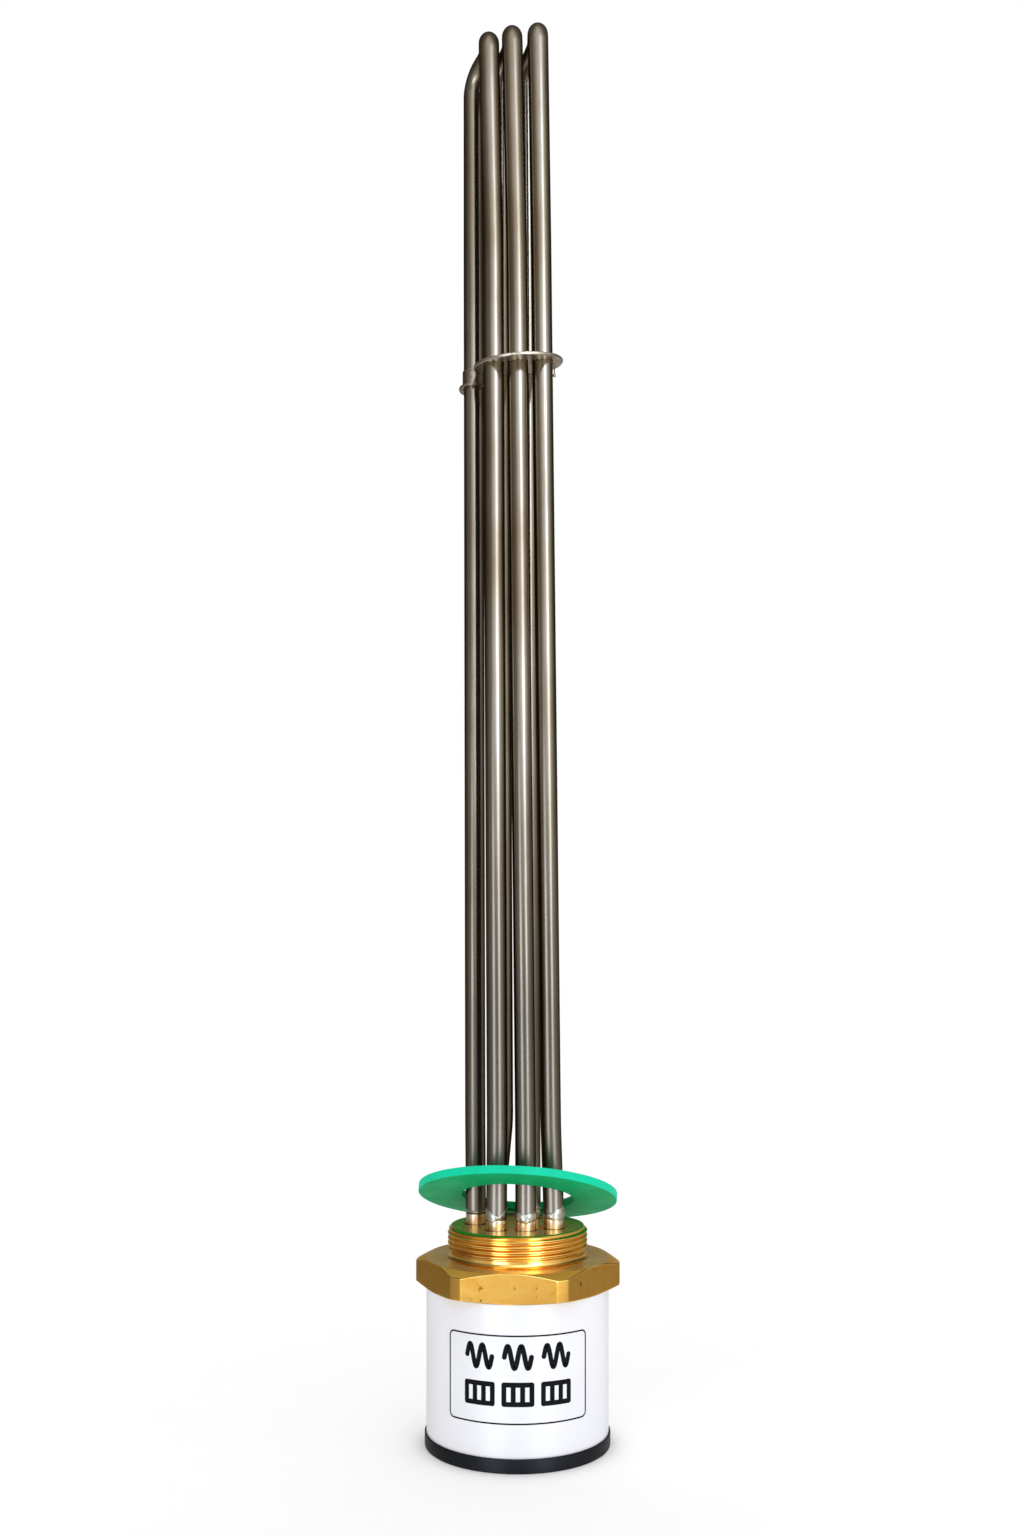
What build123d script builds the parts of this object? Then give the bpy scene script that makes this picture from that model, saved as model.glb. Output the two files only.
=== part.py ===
from build123d import *
import math
import os

# Screw plug immersion heater, standing on the end cap of its terminal cover.
# Millimetres, +Z up, the origin at the centre of the end cap's base on the floor.
# The viewer stands at -Y: "near" legs are the three in front, "return" legs the three behind.

# End cap, a push-on cap over the open end of the terminal cover
CAP_WALL = 0.75
CAP_FLOOR = 2.0
CAP_SKIRT = 4.6
CAP_RIM_CHAMFER = 0.3
CAP_BASE_CHAMFER = 0.6
CAP_GRIP_GAP = 0.05
CAP_SEAT_GAP = 0.1
CAP_RING_WALL = 1.8
CAP_RING_HEIGHT = 3.6

# Terminal cover, a white tube pushed over the boss under the hexagon
COVER_OUTER_R = 42.85
COVER_WALL = 2.35
COVER_LENGTH = 72.4

# Rating label, a thin vinyl skin on the near side of the cover
LABEL_THICK = 0.12
LABEL_GAP = 0.05
LABEL_HEIGHT = 40.0
LABEL_HALF_WIDTH = 32.9
LABEL_CORNER_R = 2.6
LABEL_DROP = 33.2

# Hexagon of the brass plug
HEX_HEIGHT = 13.5
HEX_ACROSS_FLATS = 86.0
HEX_CORNER_TRIM = 1.65
HEX_ANGLE = -5.7
HEX_TOP_DROP = 2.5
HEX_BOTTOM_DROP = 1.1

# Neck and spigot with a 2 1/4 inch pipe thread, 11 threads to the inch
THREAD_MAJOR_R = 32.855
THREAD_DEPTH = 1.479
THREAD_PITCH = 2.309
THREAD_CREST = 0.42
THREAD_ROOT = 0.35
THREAD_SINK = 0.15
THREAD_RUN_OUT = 1.5
NECK_RELIEF = 0.18
NECK_LENGTH = 3.0
NECK_FLARE_R = 2.0
SPIGOT_LENGTH = 14.6
SPIGOT_CHAMFER = 1.75

# Inside of the plug: the deck that carries the tubes, and the boss under the hexagon
SPIGOT_WALL = 3.9
DECK_THICK = 12.0
BOSS_DEPTH = 10.0
BOSS_GAP = 0.15
BOSS_LEAD = 0.6
RING_DROP = 4.9
RING_SECTION_R = 1.3
RING_GROOVE_WIDTH = 3.2
RING_GROOVE_GAP = 0.1

# Tubular elements, bent from one tube each
TUBE_R = 4.8
TUBE_WALL = 1.25
TUBE_TAIL = 6.6
NECK_REDUCTION = 0.6
SHOULDER_RISE = 5.0
LEAN_RISE = 6.4
KNEE_RISE = 36.0
LEG_LENGTH = 410.0
SLIGHT_BEND_RUN = 4.0

# The crown: up, round to the back, then outwards and down to the return leg
CROWN_RISES = (99.3, 102.3, 103.7)
CROWN_SETBACK = 10.7
CROWN_BACK_FALL = 2.7
CROWN_FALL = 8.2
CROWN_NEAR_SHARE = 0.735
CROWN_BACK_SHARE = 0.205
CROWN_RETURN_RUN = 8.2

# Each leg: its place (x, y) at the plug, at the knee, at the waist and at the crown
NEAR_LEGS = (
    ((-9.7, -15.4), (-9.4, -15.2), (-11.4, -10.9), (-13.5, -8.0)),
    ((3.7, -15.0), (3.6, -14.8), (-0.5, -10.9), (-2.6, -8.0)),
    ((16.6, -10.4), (15.4, -10.2), (10.9, -9.0), (9.4, -7.6)),
)
RETURN_LEGS = (
    ((-19.7, 2.0), (-20.0, 3.0), (-21.0, 11.5), (-21.2, 16.5)),
    ((-10.2, 14.8), (-6.8, 15.0), (-8.6, 16.0), (-8.5, 16.5)),
    ((6.5, 17.5), (6.3, 17.4), (4.6, 17.0), (3.9, 16.5)),
)

# Inside the elements: coil, packed oxide, terminal pins and end seals
COIL_R = 1.65
COIL_WALL = 0.5
COIL_START_GAP = 0.5
PACKING_GAP = 0.05
PACKING_COIL_GAP = 0.07
PACKING_SEAL_GAP = 0.5
PIN_INSET = 0.15
PIN_COLD_RISE = 10.0
PIN_TIP_LENGTH = 8.0
STUD_R = 2.0
STUD_DROP = 3.4
STUD_LENGTH = 21.0
SEAL_FLANGE_THICK = 2.6
SEAL_SPIGOT_DEPTH = 4.0
FIT_GAP = 0.05

# Ferrules round the tube ends, and the silver braze below and above each shoulder, leg by leg
FERRULE_STEP = 0.1
FERRULE_SEAT_DEPTH = 6.0
COUNTERBORE_SPACE = 1.0
COUNTERBORE_DEPTH = 0.8
BRAZE_THICK = 0.45
BRAZE_GAP = 0.02
BRAZE_EDGE = 0.3
BRAZE_BELOW = (2.2, 1.7, 1.0, 0.7, 1.0, 0.8)
BRAZE_ABOVE = (4.8, 2.8, 4.6, 1.6, 1.8, 2.0)

# Gasket, tilted, with its far part resting on the rim of the plug
GASKET_R = 46.8
GASKET_THICK = 3.7
GASKET_TUBE_SPACE = 1.4
GASKET_TILT = 21.6
GASKET_SIDE_TILT = 2.9
GASKET_REST_GAP = 0.2
GASKET_EDGE = 0.25

# Spacer disc near the top of the bundle, with a drop of braze hanging under its right side
SPACER_PLACE = (0.3, -4.0)
SPACER_DROP = 54.0
SPACER_R = 21.0
SPACER_THICK = 1.5
SPACER_TILT = 10.5
SPACER_SIDE_TILT = -4.5
SPACER_TUBE_GAP = 0.2
SPACER_EDGE = 0.35
DROP_INSET = 3.65
DROP_ANGLE = 10.0
DROP_LENGTH = 3.8
DROP_STEM_R = 0.35
DROP_BEAD_R = 0.8

# Flanged sleeve on the first return leg, under the edge of the disc
SLEEVE_BELOW_DISC = 6.4
SLEEVE_LENGTH = 8.8
SLEEVE_WALL = 0.6
SLEEVE_FLANGE = 1.7
SLEEVE_FLANGE_THICK = 1.1
SLEEVE_FLANGE_EDGE = 0.3

# Terminals: M4 nuts and washers, line clamps and a star link
NUT_FLATS = 7.0
NUT_THICK = 3.2
NUT_BELOW_STUD_TOP = 1.2
NUT_CORNER_SHARE = 0.96
WASHER_R = 4.5
WASHER_THICK = 0.8
PLATE_THICK = 1.5
LINK_WIDTH = 8.6
CLAMP_SIDE = 9.4
CLAMP_LIP = 1.6
CLAMP_LIP_THICK = 1.1

# Earth terminal: an M5 stud in the boss, with two nuts and two washers
EARTH_R = 2.5
EARTH_HOLE_DEPTH = 8.0
EARTH_STUD_LENGTH = 24.5
EARTH_NUT_FLATS = 8.0
EARTH_NUT_THICK = 4.0
EARTH_WASHER_R = 4.4
EARTH_WASHER_THICK = 1.0

# Radii that follow from the sizes above
COVER_BORE_R = COVER_OUTER_R - COVER_WALL
BOSS_R = COVER_BORE_R - BOSS_GAP
RING_CENTRE_R = COVER_BORE_R - RING_GROOVE_GAP - RING_SECTION_R
GROOVE_FLOOR_R = RING_CENTRE_R - RING_SECTION_R - RING_GROOVE_GAP
HEX_FLAT_R = HEX_ACROSS_FLATS / 2
HEX_CORNER_R = HEX_FLAT_R / math.cos(math.pi / 6) - HEX_CORNER_TRIM
THREAD_MINOR_R = THREAD_MAJOR_R - THREAD_DEPTH
NECK_R = THREAD_MINOR_R - NECK_RELIEF
SPIGOT_FLAT_R = THREAD_MAJOR_R - SPIGOT_CHAMFER
CHAMBER_R = THREAD_MINOR_R - SPIGOT_WALL
NECK_TUBE_R = TUBE_R - NECK_REDUCTION
TUBE_BORE_R = TUBE_R - TUBE_WALL
FERRULE_R = TUBE_R - FERRULE_STEP
PIN_R = COIL_R - PIN_INSET
EARTH_PLACE = (0.0, (CHAMBER_R + GROOVE_FLOOR_R) / 2)

# Heights that follow from the sizes above
COVER_LOW = CAP_FLOOR + CAP_SEAT_GAP
HEX_BOTTOM = COVER_LOW + COVER_LENGTH
HEX_TOP = HEX_BOTTOM + HEX_HEIGHT
THREAD_START = HEX_TOP + NECK_LENGTH
PLUG_TOP = HEX_TOP + SPIGOT_LENGTH
DECK_BOTTOM = PLUG_TOP - DECK_THICK
BOSS_BOTTOM = HEX_BOTTOM - BOSS_DEPTH
SHOULDER_Z = PLUG_TOP + SHOULDER_RISE
LEAN_Z = SHOULDER_Z + LEAN_RISE
KNEE_Z = LEAN_Z + KNEE_RISE
WAIST_Z = KNEE_Z + LEG_LENGTH
TUBE_END_Z = DECK_BOTTOM - TUBE_TAIL
SEAL_LOW_Z = TUBE_END_Z - SEAL_FLANGE_THICK
SEAL_HIGH_Z = TUBE_END_Z + SEAL_SPIGOT_DEPTH
PACKING_END_Z = SEAL_HIGH_Z + PACKING_SEAL_GAP
PIN_SHOULDER_Z = KNEE_Z + PIN_COLD_RISE
STUD_TOP_Z = SEAL_LOW_Z - STUD_DROP
UPPER_NUT_LOW_Z = STUD_TOP_Z - NUT_BELOW_STUD_TOP - NUT_THICK
PLATE_LOW_Z = UPPER_NUT_LOW_Z - PLATE_THICK
SPACER_Z = WAIST_Z - SPACER_DROP
SLEEVE_Z = SPACER_Z - SLEEVE_BELOW_DISC

ALL_LEGS = NEAR_LEGS + RETURN_LEGS
ELEMENTS = range(len(NEAR_LEGS))


def turned(points):
    """A solid of revolution round Z from an outline of (radius, height) points."""
    return revolve(Plane.XZ * make_face(Polyline(*points, close=True)), Axis.Z)


def rod(radius, low, high, place=(0, 0)):
    """An upright cylinder between two heights."""
    return Pos(place[0], place[1], (low + high) / 2) * Cylinder(radius, high - low)


def tube(outer, inner, low, high, place=(0, 0)):
    """An upright tube between two heights."""
    return rod(outer, low, high, place) - rod(inner, low - 1, high + 1, place)


def hex_nut(flats, thick, bore, low, place):
    """A hexagon nut with its corners turned down on both faces."""
    corner_r = flats / 2 / math.cos(math.pi / 6)
    body = Pos(*place, low) * extrude(RegularPolygon(flats / 2, 6, major_radius=False), thick)
    drop = (corner_r - flats / 2) / 2
    trim = corner_r * NUT_CORNER_SHARE
    shape = turned((
        (0, low), (flats / 2, low), (trim, low + drop), (trim, low + thick - drop),
        (flats / 2, low + thick), (0, low + thick),
    ))
    return (body & Pos(*place, 0) * shape) - rod(bore, low - 1, low + thick + 1, place)


def bent_path(points, runs):
    """Straight runs joined by arcs, each of which takes its run's length off both its sides."""
    kept, radii = [Vector(*points[0])], []
    for corner, after, run in zip(points[1:-1], points[2:], runs):
        into = Vector(*corner) - kept[-1]
        turn = math.radians(into.get_angle(Vector(*after) - Vector(*corner)))
        if turn * run > 0.001:
            kept.append(Vector(*corner))
            radii.append(run / math.tan(turn / 2))
    kept.append(Vector(*points[-1]))
    return FilletPolyline(*kept, radius=radii) if radii else Line(*kept)


def element_path(number, end_z):
    """Centre line of one hairpin, up its near leg, over the crown and down its return leg."""
    foot, knee, waist, crown = NEAR_LEGS[number]
    back_foot, back_knee, back_waist, back_crown = RETURN_LEGS[number]
    top = WAIST_Z + CROWN_RISES[number]
    turn_y = back_crown[1] - CROWN_SETBACK
    crown_run = turn_y - crown[1]
    corners = (
        (*foot, end_z), (*foot, LEAN_Z), (*knee, KNEE_Z), (*waist, WAIST_Z), (*crown, top),
        (crown[0], turn_y, top - CROWN_BACK_FALL), (*back_crown, top - CROWN_FALL),
        (*back_waist, WAIST_Z), (*back_knee, KNEE_Z), (*back_foot, LEAN_Z), (*back_foot, end_z),
    )
    slight = (SLIGHT_BEND_RUN,) * 3
    crown_runs = (CROWN_NEAR_SHARE * crown_run, CROWN_BACK_SHARE * crown_run, CROWN_RETURN_RUN)
    return bent_path(corners, slight + crown_runs + slight)


def swept(path, outer, inner=0.0):
    """A round bar, or a tube where an inner radius is given, along a centre line."""
    section = Circle(outer)
    if inner:
        section = section - Circle(inner)
    return sweep(Plane(origin=path @ 0, z_dir=path % 0) * section, path=path)


def leg_plane(leg, height):
    """The plane square to a leg's long middle run at one height, centred on the leg."""
    knee, waist = Vector(*leg[1], KNEE_Z), Vector(*leg[2], WAIST_Z)
    share = (height - KNEE_Z) / (WAIST_Z - KNEE_Z)
    return Plane(origin=knee + (waist - knee) * share, z_dir=waist - knee)


def end_cap():
    """Shallow cup with a short inner ring that centres the cover."""
    skirt_bore = COVER_OUTER_R + CAP_GRIP_GAP
    skirt_r = skirt_bore + CAP_WALL
    skirt_top = CAP_FLOOR + CAP_SKIRT
    ring_outer = COVER_BORE_R - CAP_GRIP_GAP
    ring_inner = ring_outer - CAP_RING_WALL
    ring_top = CAP_FLOOR + CAP_RING_HEIGHT
    return turned((
        (0, 0), (skirt_r - CAP_BASE_CHAMFER, 0), (skirt_r, CAP_BASE_CHAMFER),
        (skirt_r, skirt_top - CAP_RIM_CHAMFER), (skirt_r - CAP_RIM_CHAMFER, skirt_top),
        (skirt_bore, skirt_top), (skirt_bore, CAP_FLOOR), (ring_outer, CAP_FLOOR),
        (ring_outer, ring_top), (ring_inner, ring_top), (ring_inner, CAP_FLOOR), (0, CAP_FLOOR),
    ))


def terminal_cover():
    """Plain tube between the end cap's floor and the underside of the hexagon."""
    return tube(COVER_OUTER_R, COVER_BORE_R, COVER_LOW, HEX_BOTTOM)


def rating_label():
    """Thin skin on the near side of the cover with rounded corners."""
    inner = COVER_OUTER_R + LABEL_GAP
    middle = HEX_BOTTOM - LABEL_DROP
    skin = tube(inner + LABEL_THICK, inner, middle - LABEL_HEIGHT, middle + LABEL_HEIGHT)
    outline = RectangleRounded(2 * LABEL_HALF_WIDTH, LABEL_HEIGHT, LABEL_CORNER_R)
    return skin & extrude(Plane.XZ * Pos(0, middle) * outline, 2 * COVER_OUTER_R)


def thread_ridge():
    """Helical ridge of the pipe thread, cut off by the lead chamfer and the run-out."""
    low, high = THREAD_START - THREAD_PITCH, PLUG_TOP + THREAD_PITCH
    helix = Helix(THREAD_PITCH, high - low, THREAD_MINOR_R, center=(0, 0, low))
    half_root = (THREAD_PITCH - THREAD_ROOT) / 2
    half_sunk = half_root + (half_root - THREAD_CREST / 2) / THREAD_DEPTH * THREAD_SINK
    outline = Polyline(
        (-THREAD_SINK, -half_sunk), (THREAD_DEPTH, -THREAD_CREST / 2),
        (THREAD_DEPTH, THREAD_CREST / 2), (-THREAD_SINK, half_sunk), close=True,
    )
    start = Plane(origin=helix @ 0, x_dir=(1, 0, 0), z_dir=helix % 0)
    ridge = sweep(start * make_face(outline), path=helix, is_frenet=True)
    wide = THREAD_MAJOR_R + THREAD_SINK
    return ridge & turned((
        (0, THREAD_START), (THREAD_MINOR_R, THREAD_START), (wide, THREAD_START + THREAD_RUN_OUT),
        (wide, PLUG_TOP - (wide - SPIGOT_FLAT_R)), (SPIGOT_FLAT_R, PLUG_TOP), (0, PLUG_TOP),
    ))


def plug_neck():
    """Neck between hexagon and thread, with a hollow flare at its foot."""
    wide = NECK_R + NECK_FLARE_R
    flare_top = HEX_TOP + NECK_FLARE_R
    inside_hex = HEX_TOP - HEX_HEIGHT / 2
    outline = Polyline(
        (NECK_R, flare_top), (NECK_R, THREAD_START), (0, THREAD_START), (0, inside_hex),
        (wide, inside_hex), (wide, HEX_TOP),
    )
    flare = RadiusArc((wide, HEX_TOP), (NECK_R, flare_top), NECK_FLARE_R)
    return revolve(Plane.XZ * make_face(outline + flare), Axis.Z)


def plug_outside():
    """Hexagon, neck, threaded spigot and boss in one, before the plug is hollowed out."""
    hexagon = RegularPolygon(HEX_FLAT_R, 6, major_radius=False, rotation=HEX_ANGLE)
    body = Pos(0, 0, HEX_BOTTOM) * extrude(hexagon, HEX_HEIGHT) & turned((
        (0, HEX_BOTTOM), (HEX_FLAT_R, HEX_BOTTOM), (HEX_CORNER_R, HEX_BOTTOM + HEX_BOTTOM_DROP),
        (HEX_CORNER_R, HEX_TOP - HEX_TOP_DROP), (HEX_FLAT_R, HEX_TOP), (0, HEX_TOP),
    ))
    core_top = PLUG_TOP - (THREAD_MINOR_R - SPIGOT_FLAT_R)
    core = turned((
        (0, THREAD_START), (THREAD_MINOR_R, THREAD_START), (THREAD_MINOR_R, core_top),
        (SPIGOT_FLAT_R, PLUG_TOP), (0, PLUG_TOP),
    ))
    boss = turned((
        (0, BOSS_BOTTOM), (BOSS_R - BOSS_LEAD, BOSS_BOTTOM), (BOSS_R, BOSS_BOTTOM + BOSS_LEAD),
        (BOSS_R, HEX_BOTTOM), (0, HEX_BOTTOM),
    ))
    return core + thread_ridge() + plug_neck() + body + boss


def screw_plug():
    """Brass plug: hexagon, threaded spigot and deck, hollow below, with a boss for the cover."""
    body = plug_outside() - rod(CHAMBER_R, BOSS_BOTTOM - 1, DECK_BOTTOM)
    groove_middle = HEX_BOTTOM - RING_DROP
    body -= tube(
        BOSS_R + 1, GROOVE_FLOOR_R,
        groove_middle - RING_GROOVE_WIDTH / 2, groove_middle + RING_GROOVE_WIDTH / 2,
    )
    body -= rod(EARTH_R + FIT_GAP, BOSS_BOTTOM - 1, BOSS_BOTTOM + EARTH_HOLE_DEPTH, EARTH_PLACE)
    for leg in ALL_LEGS:
        body -= rod(NECK_TUBE_R + FIT_GAP, DECK_BOTTOM - 1, PLUG_TOP, leg[0])
        body -= rod(FERRULE_R + FIT_GAP, PLUG_TOP - FERRULE_SEAT_DEPTH, PLUG_TOP + 1, leg[0])
        body -= rod(FERRULE_R + COUNTERBORE_SPACE, PLUG_TOP - COUNTERBORE_DEPTH, PLUG_TOP + 1, leg[0])
    return body


def cover_ring():
    """Rubber ring in the groove of the boss, sealing the cover."""
    section = Plane.XZ * Pos(RING_CENTRE_R, HEX_BOTTOM - RING_DROP) * Circle(RING_SECTION_R)
    return revolve(section, Axis.Z)


def gasket():
    """Flat ring tilted over the plug, its far underside just clear of the plug's top rim."""
    tilt, side_tilt = math.radians(GASKET_TILT), math.radians(GASKET_SIDE_TILT)
    slope = math.hypot(math.tan(tilt), math.tan(side_tilt))
    centre_z = PLUG_TOP + SPIGOT_FLAT_R * slope + GASKET_REST_GAP
    reach = max(math.hypot(leg[0][0], leg[0][1] / math.cos(tilt)) for leg in ALL_LEGS)
    hole_r = reach + TUBE_R + GASKET_TUBE_SPACE
    ring = turned((
        (hole_r, 0), (GASKET_R, 0), (GASKET_R, GASKET_THICK - GASKET_EDGE),
        (GASKET_R - GASKET_EDGE, GASKET_THICK), (hole_r, GASKET_THICK),
    ))
    return Pos(0, 0, centre_z) * Rot(X=-GASKET_TILT) * Rot(Y=GASKET_SIDE_TILT) * ring


def sheath(number):
    """Steel tube of one hairpin, turned down to a smaller neck at both ends."""
    body = swept(element_path(number, TUBE_END_Z), TUBE_R, TUBE_BORE_R)
    for leg in (NEAR_LEGS[number], RETURN_LEGS[number]):
        body -= tube(TUBE_R + 1, NECK_TUBE_R, TUBE_END_Z - 1, SHOULDER_Z, leg[0])
    return body


def packing(number):
    """Packed oxide powder between the sheath and the coil, with a bore for coil and pins."""
    path = element_path(number, PACKING_END_Z)
    return swept(path, TUBE_BORE_R - PACKING_GAP, COIL_R + PACKING_COIL_GAP)


def coil(number):
    """Envelope of the close-wound resistance coil between the two pins."""
    body = swept(element_path(number, PACKING_END_Z), COIL_R, COIL_R - COIL_WALL)
    start = PIN_SHOULDER_Z + COIL_START_GAP
    length = start - PACKING_END_Z
    for leg in (NEAR_LEGS[number], RETURN_LEGS[number]):
        body -= leg_plane(leg, start) * Pos(0, 0, -length) * Cylinder(2 * TUBE_R, 2 * length)
    return body


def terminal_pin(leg):
    """Cold pin: a tip inside the coil, a shank that leans with the leg, and an M4 stud below."""
    end = leg_plane(leg, PIN_SHOULDER_Z)
    corners = ((*leg[0], STUD_TOP_Z), (*leg[0], LEAN_Z), (*leg[1], KNEE_Z), tuple(end.origin))
    shank = swept(bent_path(corners, (SLIGHT_BEND_RUN, SLIGHT_BEND_RUN)), PIN_R)
    tip_r = COIL_R - COIL_WALL - FIT_GAP
    tip = end * Pos(0, 0, PIN_TIP_LENGTH / 2) * Cylinder(tip_r, PIN_TIP_LENGTH)
    return shank + tip + rod(STUD_R, STUD_TOP_Z - STUD_LENGTH, STUD_TOP_Z, leg[0])


def end_seal(leg):
    """Ceramic bead in the end of the tube, with a flange under it."""
    bead = rod(NECK_TUBE_R, SEAL_LOW_Z, TUBE_END_Z, leg[0])
    bead += rod(TUBE_BORE_R - FIT_GAP, SEAL_LOW_Z, SEAL_HIGH_Z, leg[0])
    return bead - rod(PIN_R + FIT_GAP, SEAL_LOW_Z - 1, SEAL_HIGH_Z + 1, leg[0])


def ferrule(leg):
    """Copper ferrule round the neck of a tube, seated in the deck."""
    return tube(FERRULE_R, NECK_TUBE_R + FIT_GAP, PLUG_TOP - FERRULE_SEAT_DEPTH, SHOULDER_Z, leg[0])


def braze_collar(leg, below, above):
    """Ring of silver braze over the joint between ferrule and tube."""
    low, high = SHOULDER_Z - below, SHOULDER_Z + above
    over_ferrule, over_tube = FERRULE_R + BRAZE_GAP, TUBE_R + BRAZE_GAP
    outer = TUBE_R + BRAZE_THICK
    step = SHOULDER_Z - BRAZE_GAP
    return Pos(*leg[0], 0) * turned((
        (over_ferrule, low), (outer - BRAZE_EDGE, low), (outer, low + BRAZE_EDGE),
        (outer, high - BRAZE_EDGE), (outer - BRAZE_EDGE, high), (over_tube, high),
        (over_tube, step), (over_ferrule, step),
    ))


def round_first_return_leg(radius, low, length):
    """A cylinder along the first return leg, where the flanged sleeve sits."""
    return leg_plane(RETURN_LEGS[0], low) * Pos(0, 0, length / 2) * Cylinder(radius, length)


def spacer_sleeve():
    """Short sleeve with a flange at its lower end."""
    outer = TUBE_R + SLEEVE_WALL
    flange = round_first_return_leg(outer + SLEEVE_FLANGE, SLEEVE_Z, SLEEVE_FLANGE_THICK)
    flange = chamfer(flange.edges().filter_by(GeomType.CIRCLE), SLEEVE_FLANGE_EDGE)
    bore = round_first_return_leg(TUBE_R + FIT_GAP, SLEEVE_Z - 1, SLEEVE_LENGTH + 2)
    return flange + round_first_return_leg(outer, SLEEVE_Z, SLEEVE_LENGTH) - bore


def spacer_disc():
    """Tilted steel disc through which the legs pass, with its drop of braze."""
    disc = Cylinder(SPACER_R, SPACER_THICK)
    disc = chamfer(disc.edges().filter_by(GeomType.CIRCLE), SPACER_EDGE)
    disc = Pos(*SPACER_PLACE, SPACER_Z) * Rot(X=SPACER_TILT) * Rot(Y=SPACER_SIDE_TILT) * disc
    drop_angle, drop_reach = math.radians(DROP_ANGLE), SPACER_R - DROP_INSET
    drop = (
        SPACER_PLACE[0] + drop_reach * math.cos(drop_angle),
        SPACER_PLACE[1] + drop_reach * math.sin(drop_angle),
    )
    disc += rod(DROP_STEM_R, SPACER_Z - DROP_LENGTH, SPACER_Z + SPACER_THICK, drop)
    disc += Pos(*drop, SPACER_Z - DROP_LENGTH) * Sphere(DROP_BEAD_R)
    for number in ELEMENTS:
        disc -= swept(element_path(number, SHOULDER_Z), TUBE_R + SPACER_TUBE_GAP)
    room = TUBE_R + SLEEVE_WALL + SPACER_TUBE_GAP
    return disc - round_first_return_leg(room, SLEEVE_Z, SLEEVE_LENGTH + SPACER_TUBE_GAP)


def star_link():
    """Brass plate that joins the pins of the three return legs."""
    centres = [Vector(*leg[0]) for leg in RETURN_LEGS]
    outline = Sketch() + [
        SlotCenterPoint((first + second) / 2, second, LINK_WIDTH)
        for first, second in zip(centres, centres[1:])
    ]
    plate = Pos(0, 0, PLATE_LOW_Z) * extrude(outline, PLATE_THICK)
    for leg in RETURN_LEGS:
        plate -= rod(STUD_R + FIT_GAP, PLATE_LOW_Z - 1, UPPER_NUT_LOW_Z + 1, leg[0])
    return plate


def line_clamps():
    """Square clamp plates with two turned-down lips, one on each near pin."""
    clamps = []
    for leg in NEAR_LEGS:
        place = Pos(*leg[0], PLATE_LOW_Z)
        clamp = place * extrude(Rectangle(CLAMP_SIDE, CLAMP_SIDE), PLATE_THICK)
        for side in (-1, 1):
            lip = Pos(0, side * (CLAMP_SIDE - CLAMP_LIP_THICK) / 2) * Rectangle(CLAMP_SIDE, CLAMP_LIP_THICK)
            clamp += place * extrude(lip, -CLAMP_LIP)
        clamps.append(clamp - rod(STUD_R + FIT_GAP, PLATE_LOW_Z - 1, UPPER_NUT_LOW_Z + 1, leg[0]))
    return clamps


def terminal_nuts():
    """Two nuts on each terminal pin, above and below the link or the clamp."""
    lower_nut_low = PLATE_LOW_Z - WASHER_THICK - NUT_THICK
    return [
        hex_nut(NUT_FLATS, NUT_THICK, STUD_R + FIT_GAP, low, leg[0])
        for leg in ALL_LEGS for low in (UPPER_NUT_LOW_Z, lower_nut_low)
    ]


def terminal_washers():
    """One washer on each terminal pin, under the link or between the lips of the clamp."""
    between_lips = CLAMP_SIDE / 2 - CLAMP_LIP_THICK - FIT_GAP
    radii = [between_lips] * len(NEAR_LEGS) + [WASHER_R] * len(RETURN_LEGS)
    return [
        tube(radius, STUD_R + FIT_GAP, PLATE_LOW_Z - WASHER_THICK, PLATE_LOW_Z, leg[0])
        for leg, radius in zip(ALL_LEGS, radii)
    ]


def earth_stud():
    """M5 stud screwed into the underside of the boss."""
    top = BOSS_BOTTOM + EARTH_HOLE_DEPTH - FIT_GAP
    return rod(EARTH_R, top - EARTH_STUD_LENGTH, top, EARTH_PLACE)


def earth_nuts():
    """A locking nut against the boss, and a nut that clamps the earth lead."""
    first = BOSS_BOTTOM - EARTH_NUT_THICK
    second = first - 2 * EARTH_WASHER_THICK - EARTH_NUT_THICK
    bore = EARTH_R + FIT_GAP
    return [hex_nut(EARTH_NUT_FLATS, EARTH_NUT_THICK, bore, low, EARTH_PLACE) for low in (first, second)]


def earth_washers():
    """Two washers between the earth nuts."""
    first = BOSS_BOTTOM - EARTH_NUT_THICK - EARTH_WASHER_THICK
    bore = EARTH_R + FIT_GAP
    return [
        tube(EARTH_WASHER_R, bore, low, low + EARTH_WASHER_THICK, EARTH_PLACE)
        for low in (first, first - EARTH_WASHER_THICK)
    ]


def save(name, shape):
    """Writes one node. A list becomes one group of separate solids."""
    pieces = shape if isinstance(shape, list) else [shape]
    solids = [solid for piece in pieces for solid in piece.solids()]
    node = solids[0] if len(solids) == 1 else Compound(children=solids)
    node.label = name
    export_step(node, os.path.join("parts", name + ".step"))


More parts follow.
